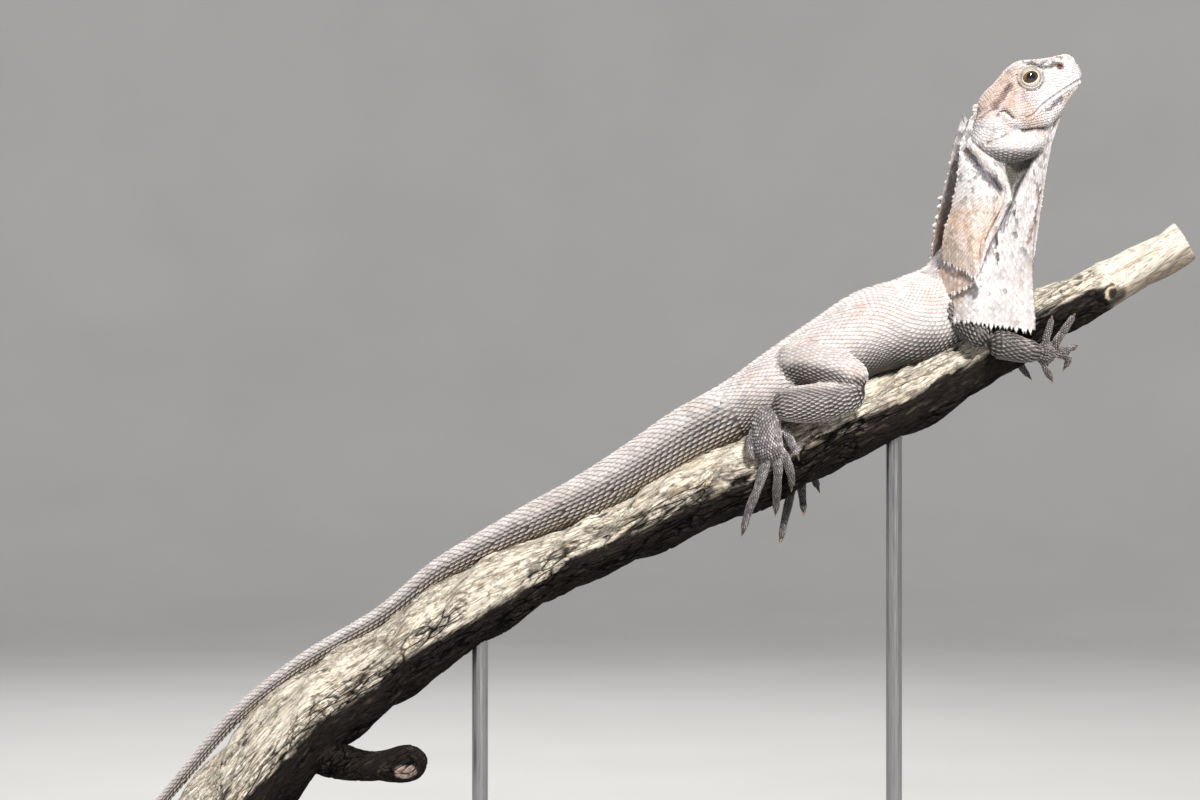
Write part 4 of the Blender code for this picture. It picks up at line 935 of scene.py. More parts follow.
def sites_on(rings, pitch, wide, first=0.0, last=1.0):
    """Sites for scales in staggered rows round a tube."""
    run = run_of(rings.mean(1))
    sides = rings.shape[1]
    at, row, count, found = first * run[-1], 0, 0, []
    while at < last * run[-1]:
        share = at / run[-1]
        i = min(np.searchsorted(run, at, side="right") - 1, len(run) - 2)
        part = (at - run[i]) / max(run[i + 1] - run[i], 1e-9)
        ring = rings[i] + (rings[i + 1] - rings[i]) * part
        ahead = rings[min(i + 2, len(rings) - 1)] - rings[max(i - 1, 0)]
        around = run_of(np.vstack([ring, ring[:1]]))
        want = around[-1] / (wide(share) if callable(wide) else wide)
        if abs(want - count) > max(0.1 * count, 0.6):
            count = max(4, int(round(want)))
        turn = (np.arange(count) + 0.5 * (row % 2)) / count
        index = np.interp(turn * around[-1], around, np.arange(sides + 1))
        low = index.astype(int) % sides
        high = (low + 1) % sides
        mix = (index - index.astype(int))[:, None]
        place = ring[low] + (ring[high] - ring[low]) * mix
        forward = ahead[low] + (ahead[high] - ahead[low]) * mix
        normal = unit(np.cross(ring[high] - ring[low], forward))
        outward = np.sign(np.sum(normal * (place - ring.mean(0)), axis=1))[:, None]
        found.append(np.column_stack([place, unit(forward), normal * outward, turn, np.full(count, share)]))
        at += pitch(share) if callable(pitch) else pitch
        row += 1
    return np.vstack(found)


def looks(marks, sites):
    """What the marks say of the colour, the painted keel highlight and the painted shade on the sides of the
    scales at these sites.
    """
    return marks(sites[:, :3], sites[:, 6:9])


class Coat:
    """Scales gathered for one piece, laid on a surface."""

    def __init__(self, name, tree, slot="skin"):
        self.name, self.tree, self.slot = name, tree, slot
        self.points, self.faces, self.colours, self.uvs, self.start = [], [], [], [], 0

    def add(self, form, sites, size, look, cell=WHOLE_SHEET, spread=0.12, seed=1):
        """Scales at sites with a size and a look each, in one cell of the sheet.

        A size is length, width and height; a look is colour, painted keel highlight and painted shade on the
        scale's sides.
        """
        if not len(sites):
            return
        local, faces, painted_light_share = form
        count, corners = len(sites), len(local)
        draw = np.random.default_rng(seed)
        place, ahead, normal = sites[:, 0:3], sites[:, 3:6], sites[:, 6:9]
        ahead = unit(ahead - normal * np.sum(ahead * normal, 1)[:, None])
        across = np.cross(normal, ahead)
        size = np.broadcast_to(np.asarray(size, float), (count, 3)) * draw.normal(1, 0.05, (count, 3))
        offset = (ahead[:, None] * (local[:, 0] - 0.5)[None, :, None] * size[:, None, 0:1]
                  + across[:, None] * local[:, 1][None, :, None] * size[:, None, 1:2])
        flat = (place[:, None] + offset).reshape(-1, 3)
        laid, lift = np.empty_like(flat), np.empty_like(flat)
        for i, point in enumerate(flat):
            laid[i], lift[i], _, _ = self.tree.find_nearest(Vector(point))
        lift = unit(lift.reshape(count, -1, 3) + normal[:, None] * 1.5)
        height = local[:, 2][None, :, None] * size[:, None, 2:3]
        points = laid.reshape(count, -1, 3) + lift * height
        colours, light, dark = look
        tone = colours * (1 + draw.normal(0, spread, count))[:, None]
        dark = np.broadcast_to(dark, count)[:, None]
        # Painted shade on the sides and root of each scale, and a painted highlight on its keel.
        shade = dark + (1 - dark) * painted_light_share
        keel = np.broadcast_to(light, count)[:, None] * painted_light_share ** 2
        left, low, right, high = cell
        spot = np.column_stack([left + sites[:, 9] * (right - left), low + sites[:, 10] * (high - low)])
        patch = 0.003 * np.column_stack([local[:, 1], local[:, 0] - 0.5])
        starts = self.start + np.arange(count) * corners
        self.points.append(points.reshape(-1, 3))
        self.colours.append(mixed(tone[:, None] * shade[..., None], KEEL_PALE_AND_HIGHLIGHT, keel).reshape(-1, 3))
        self.uvs.append((np.clip(spot, 0.003, 0.997)[:, None] + patch[None]).reshape(-1, 2))
        self.faces.append((faces[None] + starts[:, None, None]).reshape(-1, 3))
        self.start += count * corners

    def made(self, finish):
        faces = np.concatenate(self.faces)
        piece = object_of(self.name, np.concatenate(self.points), faces)
        paint(piece, np.concatenate(self.colours))
        lay_out(piece, np.concatenate(self.uvs), faces)
        piece.data.set_sharp_from_angle(angle=math.radians(38))
        piece.data.materials.append(finish)
        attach(piece, "root")


class Taken:
    """The places that already carry a scale, so that none is laid on another."""

    CELL = 2.0
    AROUND = [(x, y, z) for x in (-1, 0, 1) for y in (-1, 0, 1) for z in (-1, 0, 1)]

    def __init__(self):
        self.held = {}

    def crowded(self, base, site, apart):
        for x, y, z in self.AROUND:
            for other in self.held.get((base[0] + x, base[1] + y, base[2] + z), ()):
                if math.dist(other, site) < apart:
                    return True
        return False

    def free(self, sites, apart):
        """Which sites have no other within that distance, taking them one by one."""
        apart = np.broadcast_to(apart, len(sites))
        keep = np.zeros(len(sites), bool)
        for i, site in enumerate(sites[:, :3]):
            base = tuple(np.floor(site / self.CELL).astype(int))
            keep[i] = not self.crowded(base, site, apart[i])
            if keep[i]:
                self.held.setdefault(base, []).append(tuple(site))
        return keep


def on_skin(sites, tree, reach=1.3):
    """The sites that lie on the skin, moved onto it, with its own normals."""
    kept = []
    for site in sites:
        spot, normal, _, away = tree.find_nearest(Vector(site[:3]), 8.0)
        if spot is None or away > reach or normal.dot(Vector(site[6:9])) < 0.25:
            continue
        site = site.copy()
        site[:3], site[6:9] = spot, normal
        kept.append(site)
    return np.array(kept).reshape(-1, SITE_VALUES)


def side_sites(places, heading, tree, sign):
    """Sites on the side of the head, from a and h places and directions, found from outside."""
    kept = []
    for (a, h), (da, dh) in zip(places, heading):
        start = head_place(a, h, sign * 40.0)
        spot, normal, _, _ = tree.ray_cast(Vector(start), Vector((0, -sign, 0)))
        if spot is None:
            continue
        ahead = da * HEAD_BACK + dh * HEAD_UP
        round_share = 0.5 + 0.4 * np.clip(h / 25, -1, 1) * sign
        kept.append([*spot, *ahead, *normal, round_share, np.clip(a / 60, 0, 1)])
    return np.array(kept).reshape(-1, SITE_VALUES)


# Markings with painted light and shade, which the skin and its coat share.

def body_marks(places, normals):
    """The markings of the body and the tail, the one passing into the other behind the hips, with painted
    light: pale facing up, dark on the lower flank.
    """
    up = normals[:, 2] + 0.1 * rough(places, 9, 3)
    # Pale where the skin faces up and dark on the lower flank: partly the animal's own colour, partly painted
    # light and shade.
    torso = mixed(FLANK, BACK, smoothstep(up, -0.78, -0.28))
    torso = mixed(BELLY, torso, smoothstep(up, -0.98, -0.7))
    blush = smoothstep(rough(places, 11, 5) + 0.4 * rough(places, 4, 6), 0.2, 0.8)
    hip = bell(away_from(places, *HIP_AT), 18)
    torso = mixed(torso, BLUSH, blush * (0.25 + 0.3 * hip) * smoothstep(up, -0.2, 0.3))
    # Painted keel highlights, strongest on the lower flank, and painted shade between the scales, deepest low
    # down.
    torso_keel_highlight = 0.12 + 0.75 * smoothstep(up, -0.9, -0.5) * (1 - smoothstep(up, 0.0, 0.6))
    torso_side_shade = 0.14 + 0.6 * smoothstep(up, -0.65, 0.05)
    # The tail likewise pale where it faces up, partly painted light, with painted keel highlights and painted
    # shade between its scales.
    tail = mixed(TAIL_SIDE, BACK, smoothstep(up, -0.2, 0.35))
    tail = mixed(TAIL_LOW, tail, smoothstep(up, -0.75, -0.3))
    tail = mixed(tail, TAIL_SIDE, 0.18 * smoothstep(rough(places * [1, 0.3, 1], 14, 9), 0.0, 0.6))
    tail_keel_highlight = 0.3 + 0.65 * smoothstep(up, -0.9, -0.4) * (1 - smoothstep(up, 0.3, 0.9))
    tail_side_shade = 0.06 + 0.6 * smoothstep(up, 0.05, 0.65)
    share = smoothstep(places[:, 0] + 12 * up, 2, 48)
    colour = mixed(tail, torso, share)
    near = bell(np.hypot(places[:, 0] - VENT_AT[0], (places[:, 2] - VENT_AT[1]) * 1.3), 17)
    spots = smoothstep(rough(places, 3.0, 10), 0.2, 0.55)
    colour = mixed(colour, SLATE, 0.8 * spots * near * (abs(up - 0.15) < 0.5))
    light = tail_keel_highlight + (torso_keel_highlight - tail_keel_highlight) * share
    return colour, light, tail_side_shade + (torso_side_shade - tail_side_shade) * share


def limb_marks(places, normals):
    up = normals[:, 2] + 0.12 * rough(places, 6, 11)
    hind = places[:, 0] < HIND_LIMIT
    thigh = smoothstep(places[:, 2], 308, 315) * hind
    # Pale where the limbs face up and over the upper thighs: partly the animal's own colour, partly painted
    # light.
    pale = np.clip(0.55 * smoothstep(up, 0.45, 1.0) + thigh * smoothstep(up, -0.45, 0.15), 0, 1)
    colour = mixed(LIMB, BACK, pale)
    rose = smoothstep(rough(places, 7, 5) + 0.4 * rough(places, 3, 6), 0.0, 0.7)
    colour = mixed(colour, BLUSH, 0.4 * rose * thigh)
    colour = mixed(LIMB_UNDER, colour, smoothstep(up, -0.95, -0.55))
    # Painted shade: the forelimbs dark where they face down, their wrist bands pale only on top.
    arm = mixed(LIMB_DARK, LIMB, smoothstep(up, 0.0, 0.9))
    band = np.sin((places[:, 0] * 0.8 + places[:, 2]) * 1.5) > 0.35
    wrist = smoothstep(places[:, 0], 158, 164) * band
    arm = mixed(arm, BACK, 0.7 * wrist * smoothstep(up, -0.5, 0.3))
    colour = np.where(hind[:, None], colour, arm)
    knee = bell(away_from(places, *KNEE_AT), 4.2)
    # Painted keel highlights, and painted shade between the scales, deeper on the shanks and forelimbs.
    light = 0.18 + 0.77 * (1 - smoothstep(up, 0.3, 0.95)) * np.where(hind, 1.0, 0.5)
    return mixed(colour, LIMB_DARK, 0.8 * knee), light, 0.1 + 0.55 * pale * hind


def toe_marks(places, normals):
    up = normals[:, 2] + 0.2 * rough(places, 3, 12)
    speckle = smoothstep(rough(places, 1.3, 13), -0.1, 0.4)
    hind = places[:, 0] < HIND_LIMIT
    near = places[:, 1] < 0
    # Painted shade: darker on the lower toes, the hands and the far foot, lighter on the long near toe and
    # where toes face up.
    low = np.where(hind, 1 - smoothstep(places[:, 2], 262, 284), 0.75)
    lit_long_toe = near * (places[:, 0] < 41) * (places[:, 2] < 275)
    low = np.clip(low - 0.45 * lit_long_toe + 0.3 * (1 - near), 0, 1)
    colour = mixed(FOOT, FOOT_PALE, 0.8 * speckle * (1 - 0.7 * low))
    colour = mixed(colour, TOE, 0.8 * low * (1 - 0.5 * smoothstep(up, 0.1, 0.9)))
    return colour, 0.16 + 0.6 * speckle * (1 - 0.5 * low), np.full(len(places), 0.12)


def head_marks(places, normals):
    a, h, w = in_head(places)
    side = smoothstep(abs(w), 2, 5)
    up = normals @ HEAD_UP
    colour = mixed(CHEEK, BACK, smoothstep(up, 0.2, 0.8))
    rear = smoothstep(a, 25, 33) * (1 - 0.6 * smoothstep(h, 10, 15))
    away, behind = beside_line(places, TEMPLE_LOWER)
    low = smoothstep(away * behind, -0.5, 1.5)
    stripe = 0.75 + 0.25 * np.sin((a * 0.75 + h) * 4.5)
    colour = mixed(colour, TEMPLE, 0.95 * rear * low * stripe * side)
    colour = mixed(colour, TEMPLE, 0.3 * smoothstep(rough(places, 5, 15), 0.1, 0.7) * smoothstep(a, 8, 20))
    under = bell(away_from(places, *UNDER_EYE_AT), 4.5) * smoothstep(rough(places, 1.7, 19), -0.4, 0.4)
    colour = mixed(colour, UNDER_EYE, 0.65 * under)
    for keys, width, tint, strength, ragged in HEAD_MARKS:
        away = to_line(places, keys) + ragged * rough(places, 1.3, 17)
        colour = mixed(colour, tint, strength * (1 - smoothstep(away, width * 0.35, width)) * side)
    away, behind = beside_line(places, CANTHUS)
    fleck = smoothstep(rough(places, 1.5, 16), -0.05, 0.35) * (behind < 0) * (a > 4.5) * (a < 27)
    colour = mixed(colour, FLECK, 0.8 * fleck * (1 - smoothstep(away, 2.0, 5.0)))
    eye = np.hypot(a - EYE_AT[0], (h - EYE_AT[1]) * 1.05)
    lid = (0.9 - 0.5 * smoothstep(eye, 5.0, 5.4)) * (1 - smoothstep(eye, 5.9, 6.6))
    colour = mixed(colour, LID_CREAM, lid * side)
    # Painted shade in the groove below the eye and all round the inner edge of the lid.
    eye_groove_shade = bell(eye - 6.7, 0.45) * smoothstep(EYE_AT[1] + 1.5 - h, 0, 2) + 0.75 * bell(eye - 5.1, 0.3)
    colour = mixed(colour, INK, np.clip(0.92 * eye_groove_shade, 0, 1) * side)
    nostril = np.hypot(a - NOSTRIL_AT[0], h - NOSTRIL_AT[1])
    colour = mixed(colour, INK, 0.8 * (1 - smoothstep(nostril, 1.6, 2.6)) * side)
    colour = mixed(colour, NOSTRIL_RED, (1 - smoothstep(nostril, 1.0, 1.7)) * side)
    chin = (smoothstep(places[:, 0], 184, 188) * (1 - smoothstep(places[:, 2], 455, 460))
            + smoothstep(-h, 16, 19) * smoothstep(rough(places, 2.5, 25), -0.2, 0.5) * (a < 24))
    colour = mixed(colour, FRILL_TAN, 0.6 * np.clip(chin, 0, 1))
    # Painted light on the jowl, and painted shade with stronger keel highlights where the skin under the jowl
    # faces down.
    jowl_painted_light = bell(away_from(places, *JOWL_AT), 9)
    rim = smoothstep(-normals[:, 2], 0.1, 0.6) * bell(away_from(places, *JOWL_LOW_AT), 15)
    colour = mixed(colour, FRILL_GREY, 0.55 * rim)
    return colour, 0.3 + 0.5 * rim, 0.66 + 0.14 * jowl_painted_light - 0.62 * rim


def neck_marks(places, normals):
    colour, light, dark = body_marks(places, normals)
    shade = smoothstep(rough(places, 5, 18), -0.2, 0.6)
    return mixed(colour, FRILL_GREY, 0.45 * shade), light, dark


def frill_marks(places):
    z = places[:, 2]
    grain = rough(places * [1.0, 1.0, 0.5], 1.7, 20) + 0.6 * rough(places, 5, 21)
    dense = 0.25 + 0.75 * smoothstep(z, 362, 392)
    dense = dense + 0.5 * bell(to_line(places, [(160, 400), (155, 388), (157, 372)]), 7)
    colour = mixed(FRILL_PALE, FRILL_GREY, np.clip(0.72 * smoothstep(grain, 0.1, 0.75) * dense, 0, 1))
    away, rear = beside_line(places, LOBE_EDGE)
    tan = smoothstep(z, 346, 352) * (1 - smoothstep(z, 392, 412))
    tan = tan * np.where(rear > 0, smoothstep(away, 0.2, 3.0), 0)
    colour = mixed(colour, FRILL_TAN, np.clip(0.9 * tan * (0.75 + 0.35 * rough(places, 3, 22)), 0, 1))
    colour = mixed(colour, FRILL_TAN, 0.2 * smoothstep(rough(places, 7, 23), 0.0, 0.6))
    for keys, width, tint, strength, ragged in FRILL_MARKS:
        reach = to_line(places, keys) + ragged * rough(places, 1.3, 24)
        colour = mixed(colour, tint, strength * (1 - smoothstep(reach, width * 0.35, width)))
    # Painted shade in the deep hollow in front of the throat.
    deep = 1 - smoothstep(outside_of(places, HOLLOW_CORNERS) + 0.4 * rough(places, 1.5, 26), -0.6, 0.9)
    colour = mixed(colour, HOLLOW_SHADE, 0.95 * deep)
    # Painted shadow of the rear lobe on the frill in front of its edge.
    edge = np.where(rear < 0, bell(away - 0.8, 1.1), 0) * smoothstep(z, 364, 372)
    colour = mixed(colour, FRILL_GREY, np.clip(0.85 * edge, 0, 1))
    return colour, np.full(len(places), 0.2), np.full(len(places), 0.62)


MARKS = {"body": body_marks, "limb": limb_marks, "toe": toe_marks, "head": head_marks,
         "neck": neck_marks}


# Materials.

def node_of(tree, kind, **values):
    node = tree.nodes.new(kind)
    for key, value in values.items():
        if key in node.inputs:
            node.inputs[key].default_value = value
        else:
            setattr(node, key, value)
    return node


def new_material(name, **values):
    """A material with its Principled shader's sockets set."""
    material = bpy.data.materials.new(name)
    material.use_nodes = True
    shader = material.node_tree.nodes["Principled BSDF"]
    for socket, value in values.items():
        shader.inputs[socket.replace("_", " ")].default_value = value
    return material, material.node_tree, shader


def noise_node(tree, scale, detail=4.0, source="Object", stretch=None):
    if source == "Object":
        place = node_of(tree, "ShaderNodeTexCoord").outputs["Object"]
    else:
        place = node_of(tree, "ShaderNodeAttribute", attribute_name=source).outputs["Vector"]
    if stretch:
        mapping = node_of(tree, "ShaderNodeMapping", Scale=stretch)
        tree.links.new(place, mapping.inputs["Vector"])
        place = mapping.outputs["Vector"]
    node = node_of(tree, "ShaderNodeTexNoise", Scale=scale, Detail=detail)
    tree.links.new(place, node.inputs["Vector"])
    return node.outputs["Fac"]


def ramp_node(tree, source, stops):
    ramp = tree.nodes.new("ShaderNodeValToRGB")
    while len(ramp.color_ramp.elements) < len(stops):
        ramp.color_ramp.elements.new(0.5)
    for element, (at, colour) in zip(ramp.color_ramp.elements, stops):
        element.position = at
        element.color = (*colour, 1.0) if np.ndim(colour) else (colour, colour, colour, 1.0)
    tree.links.new(source, ramp.inputs["Fac"])
    return ramp.outputs["Color"]


def times(tree, first, second, share=1.0):
    mix = node_of(tree, "ShaderNodeMix", data_type="RGBA", blend_type="MULTIPLY")
    if isinstance(share, float):
        mix.inputs["Factor"].default_value = share
    else:
        tree.links.new(share, mix.inputs["Factor"])
    tree.links.new(first, mix.inputs[6])
    tree.links.new(second, mix.inputs[7])
    return mix.outputs[2]


def crack_node(tree, scale):
    """How far a place on the bark is from the nearest crack, which wanders along the grain."""
    place = node_of(tree, "ShaderNodeAttribute", attribute_name="grain").outputs["Vector"]
    wander = node_of(tree, "ShaderNodeTexNoise", Scale=scale * 0.7, Detail=3.0)
    tree.links.new(place, wander.inputs["Vector"])
    shift = node_of(tree, "ShaderNodeVectorMath", operation="SCALE")
    tree.links.new(wander.outputs["Color"], shift.inputs[0])
    shift.inputs["Scale"].default_value = 0.9 / scale
    moved = node_of(tree, "ShaderNodeVectorMath", operation="ADD")
    tree.links.new(place, moved.inputs[0])
    tree.links.new(shift.outputs["Vector"], moved.inputs[1])
    edges = node_of(tree, "ShaderNodeTexVoronoi", feature="DISTANCE_TO_EDGE", Scale=scale)
    tree.links.new(moved.outputs["Vector"], edges.inputs["Vector"])
    return edges.outputs["Distance"]


def bump(tree, shader, height, strength, distance):
    node = node_of(tree, "ShaderNodeBump", Strength=strength, Distance=distance)
    tree.links.new(height, node.inputs["Height"])
    tree.links.new(node.outputs["Normal"], shader.inputs["Normal"])


def feed(tree, shader, socket, source, stops):
    """Leads a value through a ramp into one of the shader's sockets."""
    tree.links.new(ramp_node(tree, source, stops), shader.inputs[socket])


def mark_node(tree):
    return node_of(tree, "ShaderNodeAttribute", attribute_name="mark")


def marked_finish(name, fine, strength, **values):
    """Skin or scales: the piece's own marks, with fine grain in colour, gloss and relief."""
    material, tree, shader = new_material(name, **values)
    grain = noise_node(tree, fine, 5.0)
    broad = noise_node(tree, fine * 0.12, 3.0)
    colour = times(tree, mark_node(tree).outputs["Color"], ramp_node(tree, grain, [(0.3, 0.72), (0.7, 1.0)]))
    colour = times(tree, colour, ramp_node(tree, broad, [(0.3, 0.82), (0.7, 1.0)]))
    tree.links.new(colour, shader.inputs["Base Color"])
    feed(tree, shader, "Roughness", broad, [(0.3, 0.42), (0.7, 0.62)])
    bump(tree, shader, grain, strength, 0.0002)
    return material


def eye_finish():
    material, tree, shader = new_material("eye_wet", Roughness=0.06, Coat_Weight=1.0, Coat_Roughness=0.02)
    rays = ramp_node(tree, noise_node(tree, 2600, 3.0), [(0.35, 0.6), (0.65, 1.0)])
    tree.links.new(times(tree, mark_node(tree).outputs["Color"], rays), shader.inputs["Base Color"])
    return material


def claw_finish():
    material, tree, shader = new_material("claw_horn", Coat_Weight=0.25)
    streaks = ramp_node(tree, noise_node(tree, 900, 4.0), [(0.3, 0.6), (0.7, 1.0)])
    tree.links.new(times(tree, mark_node(tree).outputs["Color"], streaks), shader.inputs["Base Color"])
    feed(tree, shader, "Roughness", noise_node(tree, 1500), [(0.3, 0.22), (0.7, 0.4)])
    bump(tree, shader, noise_node(tree, 2500), 0.2, 0.0001)
    return material


def bark_finish():
    material, tree, shader = new_material("bark", Specular_IOR_Level=0.06)
    marks = mark_node(tree)
    fibre = noise_node(tree, 1700, 5.0, "grain")
    streaks = ramp_node(tree, fibre, [(0.36, 0.45), (0.47, 0.95), (0.7, 1.0)])
    cracks = ramp_node(tree, crack_node(tree, 330), [(0.015, 0.04), (0.09, 1.0)])
    fine = ramp_node(tree, crack_node(tree, 900), [(0.0, 0.3), (0.07, 1.0)])
    broken = times(tree, cracks, fine)
    colour = times(tree, times(tree, marks.outputs["Color"], streaks), broken, marks.outputs["Alpha"])
    tree.links.new(colour, shader.inputs["Base Color"])
    feed(tree, shader, "Roughness", fibre, [(0.3, 0.95), (0.7, 0.75)])
    relief = times(tree, ramp_node(tree, fibre, [(0.2, 0.6), (0.8, 1.0)]), broken, marks.outputs["Alpha"])
    bump(tree, shader, relief, 0.8, 0.0012)
    return material


def base_finish():
    material, tree, shader = new_material("base_satin_black", Coat_Weight=0.1)
    speck = noise_node(tree, 1800, 3.0)
    feed(tree, shader, "Base Color", noise_node(tree, 30),
         [(0.3, (0.03, 0.03, 0.033)), (0.7, (0.045, 0.045, 0.048))])
    feed(tree, shader, "Roughness", speck, [(0.3, 0.36), (0.7, 0.5)])
    bump(tree, shader, speck, 0.25, 0.0002)
    return material


def rod_finish():
    material, tree, shader = new_material("rod_brushed_steel", Metallic=1.0)
    brushed = noise_node(tree, 2400, 4.0, "Object", (1.0, 1.0, 0.02))
    feed(tree, shader, "Base Color", brushed, [(0.3, (0.30, 0.30, 0.31)), (0.7, (0.44, 0.44, 0.45))])
    feed(tree, shader, "Roughness", brushed, [(0.3, 0.26), (0.7, 0.42)])
    bump(tree, shader, brushed, 0.15, 0.0001)
    return material


def floor_finish():
    material, tree, shader = new_material("floor_pale", Roughness=0.9)
    feed(tree, shader, "Base Color", noise_node(tree, 4.0),
         [(0.3, (0.47, 0.465, 0.455)), (0.7, (0.50, 0.495, 0.485))])
    return material


# The pieces.

def grained(local, stretch, size, seed):
    """Noise drawn out along the grain of the branch."""
    return rough(local * [stretch, 1, 1], size, seed)


def wandering(local, stretch, size, seeds, reach):
    """How far the pattern of the bark is shifted across the grain at each place."""
    return np.stack([grained(local, stretch, size, seed) for seed in seeds], 1) * [0, reach, reach]


def branch_form():
    """The branch without its bark's pattern, the line it follows and the distances along it."""
    track = line(BRANCH_LINE)
    at = np.linspace(0, track[-1, 0], 300)
    rows = curve(track, at)
    angles = np.linspace(0, 2 * np.pi, 72, endpoint=False) + np.pi / 2
    wave = sum(high * np.sin(turns * angles[None] + at[:, None] * slow * 2 * np.pi)
               for turns, high, slow in BARK_WAVES)
    rings = rings_of(np.column_stack([rows[:, :3], *(rows[:, 3:4] - 0.3,) * 3]), 72)
    rings = rings + unit(rings - rows[:, None, :3]) * wave[..., None]
    forms = [rings, limb_rings(STUB_LINE, 40, 32, 0.3), limb_rings(KNOB_LINE, 30, 24, 0.3)]
    branch = grown_together("branch_wood", [tube_mesh(form) for form in forms], BRANCH_VOXEL, 4)
    return branch, rows[:, :3], at


def make_branch():
    """The weathered branch: bark split along the grain over pale wood, its stub, knob and cuts."""
    branch, centres, at = branch_form()
    places, normals = places_of(branch), normals_of(branch)
    nearest = nearest_in(centres, places)
    along, across, up = (ways[nearest] for ways in frames(centres))
    away = places - centres[nearest]
    run = at[nearest] + np.sum(away * along, 1)
    local = np.column_stack([run, np.sum(away * across, 1), np.sum(away * up, 1)])
    reach = np.linalg.norm(local[:, 1:], axis=1)
    end = np.minimum(run - at[0], at[-1] - run)
    bent = local + wandering(local, 0.2, 5, (31, 32, 33), 1.1)
    bent = bent + wandering(local, 0.4, 1.8, (44, 45, 46), 0.5)
    large, large_own = cells(bent * [0.16, 1, 1], 5.2, 34)
    small, small_own = cells(bent * [0.2, 1, 1], 2.3, 35)
    fibre = grained(local, 0.14, 0.9, 36)
    bare = smoothstep(run + 3 * rough(local, 5, 37), *BARK_ENDS)
    barked = smoothstep(end, 0.5, 5) * (1 - bare)
    patchy = smoothstep(grained(local, 0.2, 6, 50), -0.35, 0.3)
    crack = (1 - smoothstep(large, 0.05, 0.6)) * (0.5 + 0.5 * small_own) * (0.25 + 0.75 * patchy)
    stroke = smoothstep(grained(bent, 0.09, 1.5, 47) + 0.6 * grained(bent, 0.3, 0.9, 48), 0.5, 0.85)
    stroke = stroke * smoothstep(grained(local, 0.3, 9, 49), -0.5, 0.3)
    split = (1 - smoothstep(small, 0.05, 0.5)) * smoothstep(small_own, 0.25, 0.6)
    crumbs = smoothstep(grained(local, 0.8, 2.4, 38), 0.1, 0.7) * smoothstep(run, *BARK_CRUMBLES) * (1 - bare)
    dent = 0.5 - 1.2 * crack - 0.45 * split - 0.4 * large_own - 0.6 * crumbs - 0.7 * stroke
    lip = 1.5 * bell(places[:, 0] - 205, 4.0) * smoothstep(local[:, 2], 2, 9)
    bed = sum(high * np.exp(-((places[:, 0] - x) / wide) ** 4) for x, wide, high in TAIL_BEDS)
    relief = np.minimum(dent, 0.3) * barked + 0.1 * fibre + lip
    rise = bed * smoothstep(local[:, 2], -2, 10)
    move_to(branch, places + normals * relief[:, None] + up * rise[:, None])

    height = local[:, 2] / np.maximum(reach, 1.0)
    ragged = 0.34 * (large_own - 0.5) + 0.3 * (small_own - 0.5) + 0.3 * grained(local, 0.1, 8, 39)
    # Below this line the bark is dark, partly its own colour and partly painted shade on the branch's lower
    # side.
    dark_and_shaded_side = 1 - smoothstep(height + ragged - np.interp(run, *DARK_FROM), -0.16, 0.16)
    cream = mixed(CREAM_BARK, TAN_BARK, smoothstep(small_own + 0.6 * fibre, 0.5, 1.3))
    dark_bark_shaded = mixed(DARK_BARK_AND_SHADE, BROWN_BARK, smoothstep(small_own + 0.8 * fibre, 0.8, 1.4))
    colour = mixed(cream, dark_bark_shaded, dark_and_shaded_side)
    seam = np.maximum(crack * 0.95, split * 0.8) * (0.55 + 0.45 * smoothstep(0.75 - height, 0.0, 0.9))
    seam = np.maximum(np.maximum(seam, 0.9 * stroke), crumbs * 0.75)
    colour = mixed(colour, INK, np.clip(seam, 0, 1) * barked)
    wood = mixed(BARE_WOOD, GREY_WOOD, smoothstep(grained(local, 0.06, 1.6, 40), 0.0, 0.6))
    wood = mixed(wood, SHADED_WOOD, 0.75 * (1 - smoothstep(height + 0.3 * fibre, -0.75, -0.2)))
    colour = mixed(colour, wood, bare)
    cut = abs(np.sum(normals * along, 1)) * (end < 2.0)
    year = 0.5 + 0.5 * np.sin(reach * 2.6 + rough(local, 6, 41))
    colour = mixed(colour, mixed(*YEAR_RINGS, year), smoothstep(cut, 0.5, 0.9))
    # The knob and the stub take the dark bark and its painted shade, the knob pale on top.
    knob_tint = mixed(dark_bark_shaded, cream, smoothstep(places[:, 2], 359, 362))
    for keys, thick, tint, share in ((STUB_LINE, 11.0, dark_bark_shaded, 0.95), (KNOB_LINE, 8.0, knob_tint, 0.8)):
        off = to_line(places, [(row[0], row[2]) for row in keys[1:]])
        over = (1 - smoothstep(off, thick * 0.8, thick * 1.1)) * smoothstep(-places[:, 1], 2, 9)
        colour = mixed(colour, mixed(tint, INK, 0.7 * split), over * share)
    front = places[:, 1] < -11
    # The cut faces, the knob's pale rim, and painted shade in its hollow.
    for (x, z), half, tint in STUB_FACES:
        face = np.hypot((places[:, 0] - x) / half[0], (places[:, 2] - z) / half[1])
        face = face + 0.12 * rough(places, 1.6, 42)
        colour = mixed(colour, INK, 0.9 * (1 - smoothstep(face, 1.1, 1.35)) * front)
        colour = mixed(colour, tint, (1 - smoothstep(face, 0.85, 1.0)) * front)
    cracked = barked * (1 - smoothstep(cut, 0.3, 0.8)) * (0.5 + 0.5 * smoothstep(0.8 - height, 0.0, 0.7))
    paint(branch, colour, np.clip(cracked * (0.35 + 0.65 * patchy), 0, 1))
    layer = branch.data.attributes.new("grain", "FLOAT_VECTOR", "POINT")
    layer.data.foreach_set("vector", (local * [0.1, 1, 1] * MM).astype(np.float32).ravel())
    branch.data.materials.append(bark_finish())
    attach(branch, "root")
    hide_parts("branch")
    return branch


